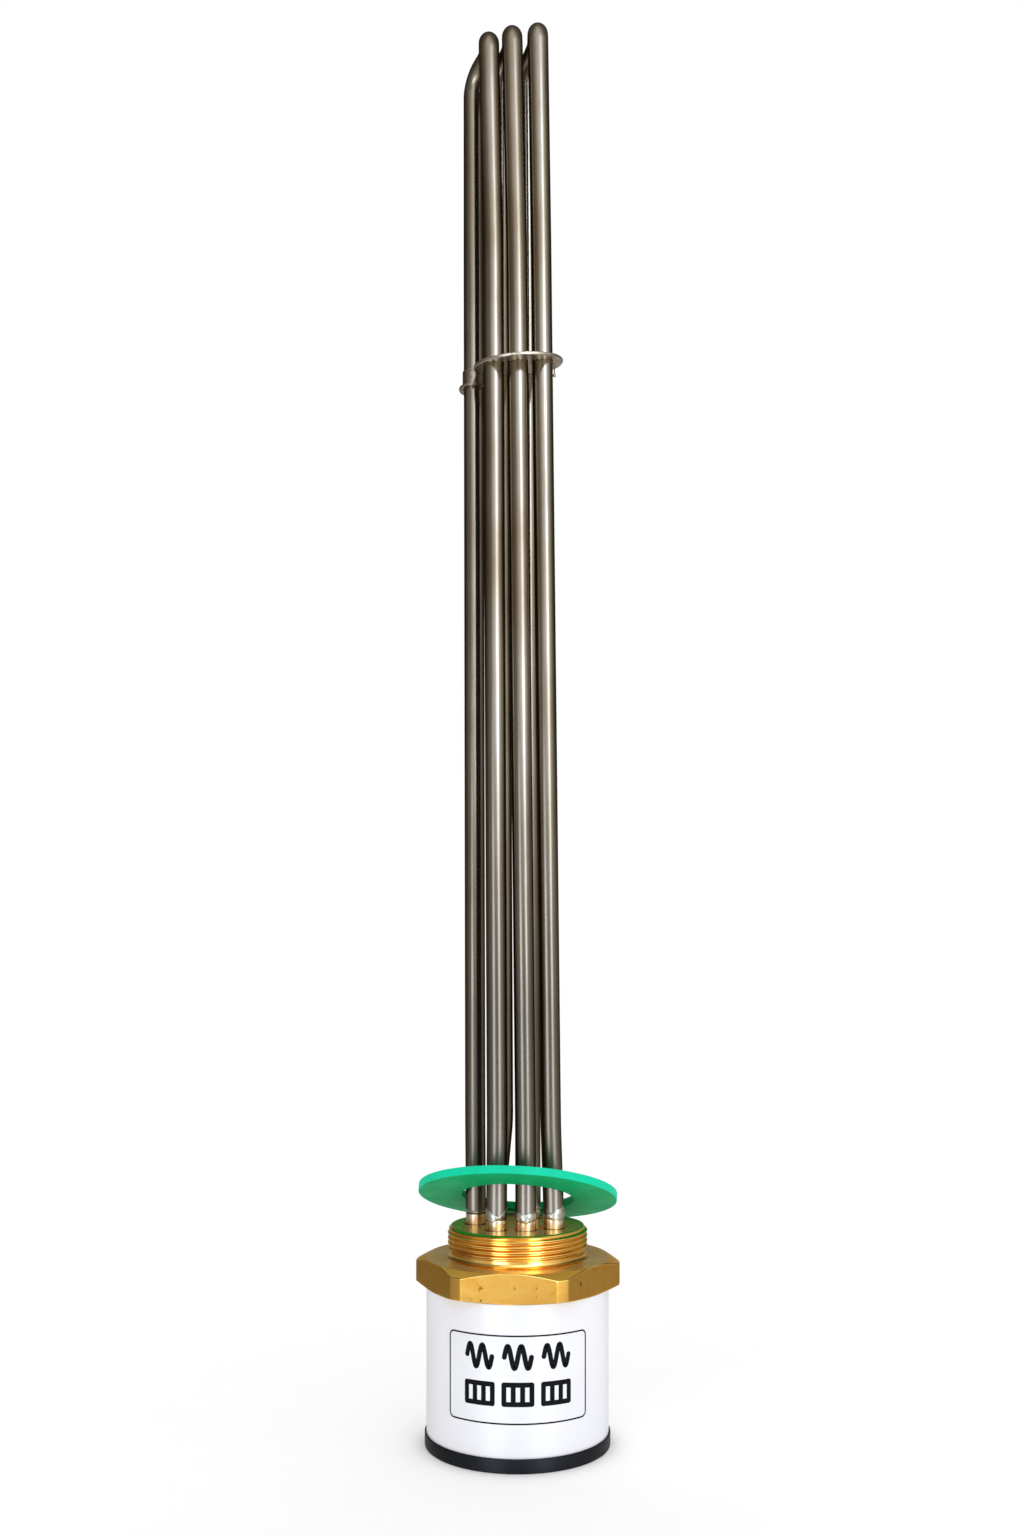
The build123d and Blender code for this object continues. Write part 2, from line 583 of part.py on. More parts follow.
os.makedirs("parts", exist_ok=True)
save("end_cap", end_cap())
save("terminal_cover", terminal_cover())
save("rating_label", rating_label())
save("screw_plug", screw_plug())
save("cover_ring", cover_ring())
save("gasket", gasket())
save("spacer_disc", spacer_disc())
save("spacer_sleeve", spacer_sleeve())
save("star_link", star_link())
save("line_clamps", line_clamps())
save("terminal_nuts", terminal_nuts())
save("terminal_washers", terminal_washers())
save("earth_stud", earth_stud())
save("earth_nuts", earth_nuts())
save("earth_washers", earth_washers())
for number in ELEMENTS:
    save(f"element_{number + 1}_sheath", sheath(number))
    save(f"element_{number + 1}_packing", packing(number))
    save(f"element_{number + 1}_coil", coil(number))
for number, leg in enumerate(ALL_LEGS):
    save(f"terminal_pin_{number + 1}", terminal_pin(leg))
    save(f"end_seal_{number + 1}", end_seal(leg))
    save(f"ferrule_{number + 1}", ferrule(leg))
    save(f"braze_collar_{number + 1}", braze_collar(leg, BRAZE_BELOW[number], BRAZE_ABOVE[number]))
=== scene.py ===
"""Looks of a screw plug immersion heater that stands on the end cap of its terminal cover.

Every length is in metres, in the frame of the CAD model: +Z up along the plug's axis, the viewer at -Y.
"""

import math

import bmesh
import bpy
import numpy as np
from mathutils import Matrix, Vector
from mathutils.geometry import tessellate_polygon


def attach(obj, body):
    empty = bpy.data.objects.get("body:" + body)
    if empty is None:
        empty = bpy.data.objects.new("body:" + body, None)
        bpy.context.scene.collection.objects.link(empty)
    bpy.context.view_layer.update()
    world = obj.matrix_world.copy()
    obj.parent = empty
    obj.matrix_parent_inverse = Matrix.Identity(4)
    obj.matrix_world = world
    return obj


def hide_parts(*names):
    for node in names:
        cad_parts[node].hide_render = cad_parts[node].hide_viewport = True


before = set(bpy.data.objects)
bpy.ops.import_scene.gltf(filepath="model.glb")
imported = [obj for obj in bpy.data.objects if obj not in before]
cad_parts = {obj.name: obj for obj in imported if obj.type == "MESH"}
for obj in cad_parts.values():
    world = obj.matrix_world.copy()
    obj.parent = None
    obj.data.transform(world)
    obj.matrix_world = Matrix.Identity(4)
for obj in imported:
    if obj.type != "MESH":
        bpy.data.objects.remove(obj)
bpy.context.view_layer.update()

bl_info = {
    "name": "Screw plug immersion heater",
    "version": (1, 0, 0),
    "blender": (4, 5, 0),
    "location": "View3D > Sidebar > Heater",
    "description": "Dresses the CAD model of a screw plug immersion heater",
    "category": "Object",
}

MM = 0.001
HEATER, CAP = "heater", "end_cap"

# Heights and radii shared with the CAD model
COVER_R = 42.85 * MM
COVER_BORE_R = 40.5 * MM
COVER_LOW = 2.1 * MM
HEX_BOTTOM = 74.5 * MM
HEX_TOP = 88.0 * MM
THREAD_START = 91.0 * MM
PLUG_TOP = 102.6 * MM
DECK_BOTTOM = 90.6 * MM
BOSS_BOTTOM = 64.5 * MM
RIM_R = 31.105 * MM
BOSS_R = 40.35 * MM
CHAMBER_R = 27.476 * MM
BORE_R = 4.25 * MM
SEAT_R = 4.75 * MM
SEAT_BOTTOM = PLUG_TOP - 6.0 * MM
MOUTH_R = 5.7 * MM
MOUTH_BOTTOM = PLUG_TOP - 0.8 * MM
FLARE_R = 33.2 * MM
TUBE_END = 84.0 * MM
SHOULDER = 107.6 * MM
LEAN = 114.0 * MM
KNEE = 150.0 * MM
WAIST = 560.0 * MM
CROWN_RISES = (99.3 * MM, 102.3 * MM, 103.7 * MM)
CROWN_SETBACK = 10.7 * MM
CROWN_BACK_FALL = 2.7 * MM
CROWN_FALL = 8.2 * MM
CROWN_SHARES = (0.735, 0.205)
CROWN_RETURN_RUN = 8.2 * MM
SLIGHT_BEND_RUN = 4.0 * MM
SLEEVE_LOW = 499.6 * MM

# Direction of the flat that faces the viewer, turned a little to the left
FRONT_FLAT = math.radians(-90 - 5.7)

# Each leg in millimetres: its place (x, y) at the plug, at the knee, at the waist and at the crown
NEAR_LEGS = (
    ((-9.7, -15.4), (-9.4, -15.2), (-11.4, -10.9), (-13.5, -8.0)),
    ((3.7, -15.0), (3.6, -14.8), (-0.5, -10.9), (-2.6, -8.0)),
    ((16.6, -10.4), (15.4, -10.2), (10.9, -9.0), (9.4, -7.6)),
)
RETURN_LEGS = (
    ((-19.7, 2.0), (-20.0, 3.0), (-21.0, 11.5), (-21.2, 16.5)),
    ((-10.2, 14.8), (-6.8, 15.0), (-8.6, 16.0), (-8.5, 16.5)),
    ((6.5, 17.5), (6.3, 17.4), (4.6, 17.0), (3.9, 16.5)),
)
LEG_FEET = [np.array(leg[0]) * MM for leg in NEAR_LEGS + RETURN_LEGS]

# Heights between which the tubes' finish changes, each from where the change starts to where it ends
# The first stretch darkens the steel towards the plug: painted shade
SHADED_FOOT_STRETCH = (360 * MM, 200 * MM)
CLEANED_STRETCH = (135 * MM, 118 * MM)
ROUGH_CROWN = (635 * MM, 660 * MM)
ROUGH_FOOT = (220 * MM, 140 * MM)

# Extra ring in the hexagon's top face, and the distance below which two points of a mesh are one
FACE_RING_R = 38.0 * MM
MERGE = 0.001 * MM

# Radii of the stage's floor and spheres, in metres
FLOOR_R, DOME_R, BACKDROP_R = 80.0, 3.0, 15.0

# The photo's camera: level, 660 mm from the plug's axis, its frame shifted upwards
PHOTO_HEIGHT = 1536
PHOTO_FOCAL = 1400
PHOTO_HORIZON = 975
CAMERA_PLACE = (-2.6 * MM, -660 * MM, 220 * MM)


def linear(code):
    """The linear RGBA colour of an sRGB hex code: c/12.92 below 0.04045, else ((c+0.055)/1.055)^2.4."""
    channels = [int(code[i:i + 2], 16) / 255 for i in (1, 3, 5)]
    return (*[c / 12.92 if c <= 0.04045 else ((c + 0.055) / 1.055) ** 2.4 for c in channels], 1.0)


def tint(name, code, words):
    """A colour property whose default is an sRGB hex code."""
    return bpy.props.FloatVectorProperty(
        name=name, description=words, subtype="COLOR", size=4, min=0, max=1, default=linear(code)
    )


def length(name, value, words):
    """A length property in metres."""
    return bpy.props.FloatProperty(
        name=name, description=words, unit="LENGTH", subtype="DISTANCE", min=0, default=value, precision=5
    )


class TubeSettings(bpy.types.PropertyGroup):
    radius: length("Tube radius", 4.8 * MM, "Outer radius of the heating tubes")
    steel: tint("Steel", "#9A8F7E", "Drawn and annealed steel")
    heat_tint: tint("Heat tint", "#7B6B55", "Brown left by brazing and annealing")
    # Painted shade: the darker steel near the plug
    shaded_foot_steel: tint("Shaded foot steel", "#5C5449", "Steel near the plug, darkened as painted shade")


class PlugSettings(bpy.types.PropertyGroup):
    apothem: length("Half across flats", 43.0 * MM, "From the axis to a flat of the hexagon")
    corner_radius: length("Corner radius", 48.0 * MM, "Radius to which the hexagon's corners are turned")
    thread_radius: length("Thread radius", 32.855 * MM, "Radius of the thread's crests")
    thread_depth: length("Thread depth", 1.479 * MM, "From crest to root")
    thread_pitch: length("Thread pitch", 2.309 * MM, "From crest to crest, 11 to the inch")
    brass: tint("Brass", "#F2C56C", "Turned brass")
    flat_brass: tint("Flats", "#C19343", "The hexagon's drawn flats, duller than the turned faces")
    dull_brass: tint("Top face", "#F2CE86", "The hexagon's top face and the deck, dulled by handling")
    dark_chamfer_brass: tint("Chamfers", "#C08C34", "The hexagon's upper chamfers, darker brown")


class FootSettings(bpy.types.PropertyGroup):
    ferrule_radius: length("Ferrule radius", 4.7 * MM, "Outer radius of the copper ferrules")
    copper: tint("Copper", "#E4CEAE", "Ferrules, heated and dull")
    silver: tint("Silver braze", "#B2AA9A", "Silver braze, melted over the joint")


class GasketSettings(bpy.types.PropertyGroup):
    radius: length("Outer radius", 46.8 * MM, "Outer radius of the gasket")
    hole_radius: length("Hole radius", 26.22 * MM, "Radius of its hole")
    thickness: length("Thickness", 3.7 * MM, "Thickness of the sheet")
    green: tint("Green", "#00B36F", "Faces of the green jointing sheet")
    # The edge's paler, bluer green is painted light from above
    lit_edge_green: tint("Lit edge", "#16DDAE", "Outer edge of the sheet, painted paler and bluer as lit from above")


class CoverSettings(bpy.types.PropertyGroup):
    white: tint("White", "#F8F8FD", "White moulded cover")
    black: tint("Black", "#0B0D11", "Black moulded end cap")
    label: tint("Label", "#F7F8FC", "Vinyl of the label")
    ink: tint("Ink", "#070809", "Printed border and signs")


class StageSettings(bpy.types.PropertyGroup):
    floor: tint("Floor", "#FEFEFE", "Pale floor under the heater")
    white: bpy.props.FloatProperty(
        name="Soft light", description="Radiance of the soft white light all round", default=0.99, min=0
    )
    strip: bpy.props.FloatProperty(
        name="Strip lights", description="Radiance of the strips that metal reflects", default=3.2, min=0
    )
    strip_tint: tint("Strip tint", "#D8E7FF", "Cool daylight colour of the two strips")


def fill(tree, node, inputs):
    """Links a node's inputs to sockets, and sets numbers and colours on the inputs themselves."""
    for key, value in inputs.items():
        if isinstance(value, bpy.types.NodeSocket):
            tree.links.new(value, node.inputs[key])
        else:
            node.inputs[key].default_value = value


def add_node(tree, kind, settings=None, inputs=None):
    """Adds a node. settings maps its attributes to values, inputs its inputs to sockets or values."""
    node = tree.nodes.new(kind)
    for name, value in (settings or {}).items():
        setattr(node, name, value)
    fill(tree, node, inputs or {})
    return node


def new_material(name, kind="ShaderNodeBsdfPrincipled"):
    """An empty node material, its tree and its shader, and the piece's own coordinates."""
    material = bpy.data.materials.new(name)
    material.use_nodes = True
    tree = material.node_tree
    tree.nodes.clear()
    shader = add_node(tree, kind)
    add_node(tree, "ShaderNodeOutputMaterial", inputs={"Surface": shader.outputs[0]})
    return material, tree, shader, add_node(tree, "ShaderNodeTexCoord").outputs["Object"]


def mottle(tree, place, size, stretch=(1, 1, 1), detail=3.0, roughness=0.55):
    """A cloudy pattern with features of a real size, and a share of that many along each axis."""
    at = add_node(tree, "ShaderNodeMapping", None, {
        "Vector": place, "Scale": tuple(share / size for share in stretch),
    })
    return add_node(tree, "ShaderNodeTexNoise", None, {
        "Vector": at.outputs["Vector"], "Scale": 1.0, "Detail": detail, "Roughness": roughness,
    }).outputs["Fac"]


def blended(tree, pattern, low, high, share, first, second, blend="MIX"):
    """Goes from the first colour to a share of the second while a pattern rises from low to high."""
    factor = add_node(tree, "ShaderNodeMapRange", None, {
        "Value": pattern, "From Min": low, "From Max": high, "To Max": share,
    })
    settings = {"data_type": "RGBA", "blend_type": blend}
    return add_node(tree, "ShaderNodeMix", settings, {0: factor.outputs[0], 6: first, 7: second}).outputs[2]


def grained(tree, colour, share, grain, dark=0.6):
    """A colour that is multiplied, by a share, with a grey from dark to 1 as its grain rises."""
    grey = add_node(tree, "ShaderNodeMapRange", None, {
        "Value": grain, "From Min": 0.3, "From Max": 0.7, "To Min": dark,
    })
    settings = {"data_type": "RGBA", "blend_type": "MULTIPLY"}
    return add_node(tree, "ShaderNodeMix", settings, {0: share, 6: colour, 7: grey.outputs[0]}).outputs[2]


def coat(tree, shader, colour, pattern, smooth, rough, others, low=0.3):
    """Gives a shader its colour, its other values, and a roughness that rises with a pattern."""
    rise = add_node(tree, "ShaderNodeMapRange", None, {
        "Value": pattern, "From Min": low, "From Max": 0.7, "To Min": smooth, "To Max": rough,
    }).outputs[0]
    fill(tree, shader, {"Base Color": colour, "Roughness": rise} | others)
    return rise


def relief(tree, shader, *layers):
    """Bumps of real depths in metres, each from a pattern and laid over the one before."""
    below = {}
    for pattern, depth in layers:
        layer = {"Height": pattern, "Strength": 1.0, "Distance": depth} | below
        below = {"Normal": add_node(tree, "ShaderNodeBump", None, layer).outputs[0]}
    fill(tree, shader, below)


def grid_faces(rows, columns, wrap_rows=False, wrap_columns=False):
    """Quads of a grid of rows x columns points, joined round where asked."""
    row = np.arange(rows if wrap_rows else rows - 1)[:, None]
    column = np.arange(columns if wrap_columns else columns - 1)[None, :]
    next_row, next_column = (row + 1) % rows, (column + 1) % columns
    return np.stack(np.broadcast_arrays(
        row * columns + column, row * columns + next_column,
        next_row * columns + next_column, next_row * columns + column,
    ), axis=-1).reshape(-1, 4)


class Patchwork:
    """Grids and flat pieces of surface that are joined into one closed mesh."""

    def __init__(self):
        self.points, self.faces, self.finishes, self.count = [], [], [], 0

    def take(self, points, faces, finish):
        """Adds points, and faces that count from the first of them."""
        self.points.append(np.asarray(points, float).reshape(-1, 3))
        self.faces += [[int(i) + self.count for i in face] for face in faces]
        self.finishes += [finish] * len(faces)
        self.count += len(self.points[-1])

    def grid(self, points, wrap_rows=False, wrap_columns=False, finish=0):
        """A grid of rows x columns points."""
        rows, columns = points.shape[:2]
        self.take(points, grid_faces(rows, columns, wrap_rows, wrap_columns), finish)

    def turned(self, profile, angles, finish=0, centre=(0.0, 0.0)):
        """The surface (x0 + r cos a, y0 + r sin a, z) of a profile of (r, z) pairs."""
        r, z = np.asarray(profile, float).T
        points = np.stack(np.broadcast_arrays(
            centre[0] + r[:, None] * np.cos(angles), centre[1] + r[:, None] * np.sin(angles), z[:, None]
        ), axis=-1)
        self.grid(points, wrap_columns=True, finish=finish)

    def plate(self, height, loops, finish=0):
        """A flat face at one height inside the first loop of (x, y) points and outside the others."""
        lists = [[Vector((x, y, 0)) for x, y in loop] for loop in loops]
        flat = np.concatenate([np.asarray(loop, float) for loop in loops])
        points = np.column_stack([flat, np.full(len(flat), height)])
        self.take(points, tessellate_polygon(lists), finish)

    def object(self, name, materials, sharp=32):
        """Joins the patches into one object of the scene, with its faces turned outwards."""
        mesh = bpy.data.meshes.new(name)
        mesh.from_pydata(np.concatenate(self.points).tolist(), [], self.faces)
        mesh.polygons.foreach_set("material_index", np.array(self.finishes, np.int32))
        for material in materials:
            mesh.materials.append(material)
        work = bmesh.new()
        work.from_mesh(mesh)
        bmesh.ops.remove_doubles(work, verts=work.verts, dist=MERGE)
        bmesh.ops.dissolve_degenerate(work, edges=work.edges, dist=MERGE)
        bmesh.ops.recalc_face_normals(work, faces=work.faces)
        work.to_mesh(mesh)
        work.free()
        mesh.shade_smooth()
        mesh.set_sharp_from_angle(angle=math.radians(sharp))
        made = bpy.data.objects.new(name, mesh)
        bpy.context.scene.collection.objects.link(made)
        return made

    def make(self, name, body, materials, sharp=32, replaces=()):
        """Makes the patches one piece of the heater that rides on a body."""
        piece = self.object(name, materials, sharp)
        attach(piece, body)
        if replaces:
            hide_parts(*replaces)


def circle(radius, angles, centre=(0.0, 0.0)):
    """Points (x0 + r cos a, y0 + r sin a)."""
    return np.column_stack([centre[0] + radius * np.cos(angles), centre[1] + radius * np.sin(angles)])


def around(count):
    """Equal angles round a full turn."""
    return np.arange(count) * 2 * math.pi / count


def corner_curve(a, p, b, t):
    """The curve (1-t)^2 A + 2t(1-t) P + t^2 B, which cuts the corner P between A and B."""
    return (1 - t) ** 2 * a + 2 * t * (1 - t) * p + t ** 2 * b


def rounded(profile, radius):
    """A profile of (r, z) pairs with each inner corner cut by corner_curve between points on its two
    sides, radius or half a side away."""
    points = [np.array(p, float) for p in profile]
    out = [points[0]]
    t = np.linspace(0, 1, 5)[:, None]
    for before, corner, after in zip(points[:-2], points[1:-1], points[2:]):
        into, away = before - corner, after - corner
        a = corner + into * min(0.5, radius / np.linalg.norm(into))
        b = corner + away * min(0.5, radius / np.linalg.norm(away))
        out += list(corner_curve(a, corner, b, t))
    return np.array(out + [points[-1]])


def straight(start, end, step=6 * MM):
    """Points on the way from start to end, without start, about a step apart."""
    count = max(1, int(np.linalg.norm(end - start) / step))
    return start + (end - start) * np.linspace(0, 1, count + 1)[1:, None]


def bent_line(corners, runs):
    """Points along straight runs joined by arcs of radius run / tan(turn / 2), with points about every
    4 degrees of an arc."""
    corners = np.asarray(corners, float)
    points = [corners[:1]]
    last = corners[0]
    for corner, after, run in zip(corners[1:-1], corners[2:], runs):
        into, away = corner - last, after - corner
        into, away = into / np.linalg.norm(into), away / np.linalg.norm(away)
        turn = math.acos(min(1.0, float(into @ away)))
        start = corner - into * run
        points.append(straight(last, start))
        side = away - into * (into @ away)
        if np.linalg.norm(side) > 1e-9:
            side /= np.linalg.norm(side)
            radius = run / math.tan(turn / 2)
            angle = np.linspace(0, turn, max(2, int(math.degrees(turn) / 4)) + 1)[1:, None]
            points.append(start + radius * (np.sin(angle) * into + (1 - np.cos(angle)) * side))
        last = points[-1][-1]
    return np.concatenate(points + [straight(last, corners[-1])])


def element_line(number):
    """Centre line of one hairpin between its two shoulders."""
    foot, knee, waist, crown = [np.array(p) * MM for p in NEAR_LEGS[number]]
    back_foot, back_knee, back_waist, back_crown = [np.array(p) * MM for p in RETURN_LEGS[number]]
    top = WAIST + CROWN_RISES[number]
    turn_y = back_crown[1] - CROWN_SETBACK
    corners = [
        (*foot, SHOULDER), (*foot, LEAN), (*knee, KNEE), (*waist, WAIST), (*crown, top),
        (crown[0], turn_y, top - CROWN_BACK_FALL), (*back_crown, top - CROWN_FALL),
        (*back_waist, WAIST), (*back_knee, KNEE), (*back_foot, LEAN), (*back_foot, SHOULDER),
    ]
    slight = [SLIGHT_BEND_RUN] * 3
    crown_runs = [share * (turn_y - crown[1]) for share in CROWN_SHARES] + [CROWN_RETURN_RUN]
    return bent_line(corners, slight + crown_runs + slight)


def carried_frame(line):
    """Two directions square to a line at each of its points, carried along with almost no twist: each
    step takes from the last side its part along the new tangent T, N - T (N . T), and B is T x N."""
    tangents = np.gradient(line, axis=0)
    tangents /= np.linalg.norm(tangents, axis=1)[:, None]
    side = np.cross(tangents[0], (0.0, -1.0, 0.0))
    side /= np.linalg.norm(side)
    sides = [side]
    for tangent in tangents[1:]:
        side = side - tangent * (side @ tangent)
        side = side / np.linalg.norm(side)
        sides.append(side)
    sides = np.array(sides)
    return sides, np.cross(tangents, sides)


# Materials

# Colour of brass at a grazing angle
BRASS_EDGE = linear("#FFEFCB")


def steel_tube_material(settings):
    """Stainless tube, drawn and annealed: long drawing lines, drawn coarser than real ones so that they
    show, brown heat tint in patches, darker towards the plug as painted shade and cleaned just above the
    braze, with a satin gloss that the lines break up, rougher at the crowns and near the plug."""
    material, tree, shader, place = new_material("annealed_steel_tube")
    patches = mottle(tree, place, 41.67 * MM, (1, 1, 0.35), detail=4)
    lines = mottle(tree, place, 0.625 * MM, (1, 1, 0.012), detail=5, roughness=0.7)
    stain = mottle(tree, place, 14.29 * MM, (1, 1, 0.18), detail=6, roughness=0.65)
    waves = mottle(tree, place, 3.846 * MM, (1, 1, 0.3), detail=4)
    height = add_node(tree, "ShaderNodeSeparateXYZ", None, {"Vector": place}).outputs["Z"]
    colour = blended(tree, patches, 0.38, 0.66, 1, settings.steel, settings.heat_tint)
    # Painted shade: the steel darkens towards the plug
    colour = blended(tree, height, *SHADED_FOOT_STRETCH, 0.85, colour, settings.shaded_foot_steel)
    colour = blended(tree, height, *CLEANED_STRETCH, 0.4, colour, settings.steel)
    colour = grained(tree, colour, 0.35, lines, 0.55)
    colour = blended(tree, stain, 0.58, 0.74, 0.55, colour, linear("#5A4A36"))
    others = {"Metallic": 1.0, "Specular Tint": linear("#958B7E")}
    rough = coat(tree, shader, colour, patches, 0.15, 0.22, others)
    for (low, high), share in ((ROUGH_CROWN, 0.16), (ROUGH_FOOT, 0.13)):
        more = add_node(tree, "ShaderNodeMapRange", None, {
            "Value": height, "From Min": low, "From Max": high, "To Max": share,
        }).outputs[0]
        rough = add_node(tree, "ShaderNodeMath", {"operation": "ADD"}, {0: rough, 1: more}).outputs[0]
    fill(tree, shader, {"Roughness": rough})
    relief(tree, shader, (lines, 0.012 * MM), (waves, 0.02 * MM))
    return material


def turned_brass_material(name, colour, smooth, rough, metallic=1.0):
    """Free-cutting brass turned on a lathe: fine rings round the axis, warm gold, a little
    darker where it has aged."""
    material, tree, shader, place = new_material(name)
    split = add_node(tree, "ShaderNodeSeparateXYZ", None, {"Vector": place}).outputs
    flat = add_node(tree, "ShaderNodeCombineXYZ", None, {"X": split["X"], "Y": split["Y"]}).outputs[0]
    reach = add_node(tree, "ShaderNodeVectorMath", {"operation": "LENGTH"}, {0: flat}).outputs["Value"]
    rings_at = add_node(tree, "ShaderNodeCombineXYZ", None, {"X": reach, "Z": split["Z"]}).outputs[0]
    rings = mottle(tree, rings_at, 0.1923 * MM)
    patches = mottle(tree, place, 16.67 * MM, detail=5)
    colour = blended(tree, patches, 0.35, 0.7, 0.5, tuple(colour), linear("#DCA23E"))
    colour = grained(tree, colour, 0.22, rings)
    coat(tree, shader, colour, patches, smooth, rough, {"Metallic": metallic, "Specular Tint": BRASS_EDGE})
    relief(tree, shader, (rings, 0.005 * MM))
    return material


def drawn_brass_material(settings):
    """Flats of drawn brass bar: matt and slightly mottled, with small dings and dark specks."""
    material, tree, shader, place = new_material("drawn_brass_flats")
    cloud = mottle(tree, place, 5.556 * MM, (1, 1, 1.4), detail=6, roughness=0.7)
    grain = mottle(tree, place, 0.6667 * MM, detail=4, roughness=0.7)
    dings = mottle(tree, place, 3.03 * MM, detail=2, roughness=0.4)
    colour = blended(tree, cloud, 0.38, 0.64, 0.8, settings.flat_brass, linear("#BE8836"))
    colour = grained(tree, colour, 0.25, grain, 0.55)
    colour = blended(tree, dings, 0.69, 0.74, 1, colour, linear("#8A5F24"))
    coat(tree, shader, colour, cloud, 0.4, 0.5, {"Metallic": 1.0, "Specular Tint": BRASS_EDGE})
    pits = add_node(tree, "ShaderNodeMapRange", None, {
        "Value": dings, "From Min": 0.66, "From Max": 0.74, "To Min": 1.0, "To Max": 0.0,
    })
    relief(tree, shader, (grain, 0.01 * MM), (cloud, 0.03 * MM), (pits.outputs[0], 0.06 * MM))
    return material


def copper_material(settings):
    """Copper alloy ferrule, heated in brazing: dull rose brown with darker stains."""
    material, tree, shader, place = new_material("heated_copper")
    stains = mottle(tree, place, 3.846 * MM, (1, 1, 0.6), detail=5)
    lines = mottle(tree, place, 0.4545 * MM, (1, 1, 0.05))
    colour = blended(tree, stains, 0.4, 0.68, 0.75, settings.copper, linear("#B8905E"))
    coat(tree, shader, grained(tree, colour, 0.2, lines), stains, 0.2, 0.32, {"Metallic": 1.0})
    relief(tree, shader, (lines, 0.008 * MM))
    return material


def silver_braze_material(settings):
    """Silver braze set from the melt: bright, slightly wavy, with grey flux stain in its hollows."""
    material, tree, shader, place = new_material("silver_braze")
    waves = mottle(tree, place, 2.381 * MM, detail=4)
    colour = blended(tree, waves, 0.55, 0.75, 0.8, settings.silver, linear("#66625A"))
    coat(tree, shader, colour, waves, 0.22, 0.42, {"Metallic": 1.0})
    relief(tree, shader, (waves, 0.08 * MM))
    return material


def gasket_material(name, colour, worn):
    """Compressed jointing sheet, satin green, with a faint fibre mottle and rubbed places."""
    material, tree, shader, place = new_material(name)
    cloud = mottle(tree, place, 11.11 * MM, detail=6, roughness=0.6)
    fibres = mottle(tree, place, 0.5556 * MM, detail=4)
    colour = grained(tree, blended(tree, cloud, 0.36, 0.68, 0.6, colour, worn), 0.12, fibres)
    coat(tree, shader, colour, cloud, 0.36, 0.5, {"IOR": 1.5, "Specular IOR Level": 0.05})
    relief(tree, shader, (fibres, 0.012 * MM), (cloud, 0.03 * MM))
    return material


def moulded_plastic_material(name, colour, rough, shade, scratch=0.0, gloss=0.5):
    """Injection-moulded plastic: even colour with a very faint cloudiness and a fine satin skin, whose
    grain is drawn coarser than the real one."""
    material, tree, shader, place = new_material(name)
    cloud = mottle(tree, place, 33.33 * MM, detail=4)
    lines = mottle(tree, place, 1.111 * MM, (0.05, 0.05, 1), detail=4, roughness=0.7)
    colour = blended(tree, cloud, 0.35, 0.7, 1, tuple(colour), linear(shade))
    others = {"IOR": 1.49, "Specular IOR Level": gloss}
    coat(tree, shader, colour, lines, rough, rough + 0.08 + scratch, others, low=0.35)
    relief(tree, shader, (mottle(tree, place, 0.3846 * MM, detail=2), 0.004 * MM))
    return material


def plain_metal_material(name, light, dark, rough):
    """Small machined or plated metal parts: a mean gloss with faint darker marks."""
    material, tree, shader, place = new_material(name)
    marks = mottle(tree, place, 2 * MM, detail=5)
    colour = blended(tree, marks, 0.35, 0.7, 1, linear(light), linear(dark))
    coat(tree, shader, colour, marks, rough, rough + 0.12, {"Metallic": 1.0})
    relief(tree, shader, (marks, 0.01 * MM))
    return material


def matt_material(name, light, dark, rough, size, gloss=0.5):
    """Ceramic, powder, rubber or ink: one matt colour with a fine grain."""
    material, tree, shader, place = new_material(name)
    grain = mottle(tree, place, size, detail=5)
    colour = blended(tree, grain, 0.35, 0.7, 1, tuple(light), linear(dark))
    fill(tree, shader, {"Base Color": colour, "Roughness": rough, "Specular IOR Level": gloss})
    relief(tree, shader, (grain, 0.02 * MM))
    return material


def dress(names, material):
    """Gives carried-over CAD nodes a material."""
    for name in names:
        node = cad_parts[name]
        node.data.materials.clear()
        node.data.materials.append(material)


# Pieces

class HEATER_OT_tubes(bpy.types.Operator):
    """Adds the three bent heating tubes"""
    bl_idname = "heater.tubes"
    bl_label = "Heating tubes"

    def execute(self, context):
        """Each point is C(s) + R (cos a N(s) + sin a B(s)) round the centre line C, where N and B are
        its carried frame. At both ends the tube steps in to its neck and is closed by its bore."""
        settings = context.scene.heater_tubes
        material = steel_tube_material(settings)
        radius, neck, bore = settings.radius, settings.radius - 0.6 * MM, settings.radius - 1.25 * MM
        chamfer, chamfer_rise = 0.25 * MM, np.array([0, 0, 0.5 * MM])
        angles = around(72)
        for number in range(3):
            line = element_line(number)
            line = np.concatenate([
                line[:1], line[:1] + chamfer_rise, line[1:-1], line[-1:] + chamfer_rise, line[-1:],
            ])
            sides, ups = [direction[:, None, :] for direction in carried_frame(line)]
            ring = np.cos(angles)[None, :, None] * sides + np.sin(angles)[None, :, None] * ups
            radii = np.full(len(line), radius)
            radii[[0, -1]] = radius - chamfer
            centres = line[:, None, :]
            patches = Patchwork()
            patches.grid(centres + radii[:, None, None] * ring, wrap_columns=True)
            for end in (0, -1):
                high, low = line[end], line[end] - (0, 0, SHOULDER - TUBE_END)
                rows = [(high, radii[end]), (high, neck), (low, neck), (low, bore), (high, bore)]
                patches.grid(np.array([centre + r * ring[end] for centre, r in rows]), wrap_columns=True)
            patches.grid(centres + bore * ring, wrap_columns=True)
            patches.make(
                f"heating_tube_{number + 1}", HEATER, [material],
                replaces=(f"element_{number + 1}_sheath",),
            )
        return {"FINISHED"}


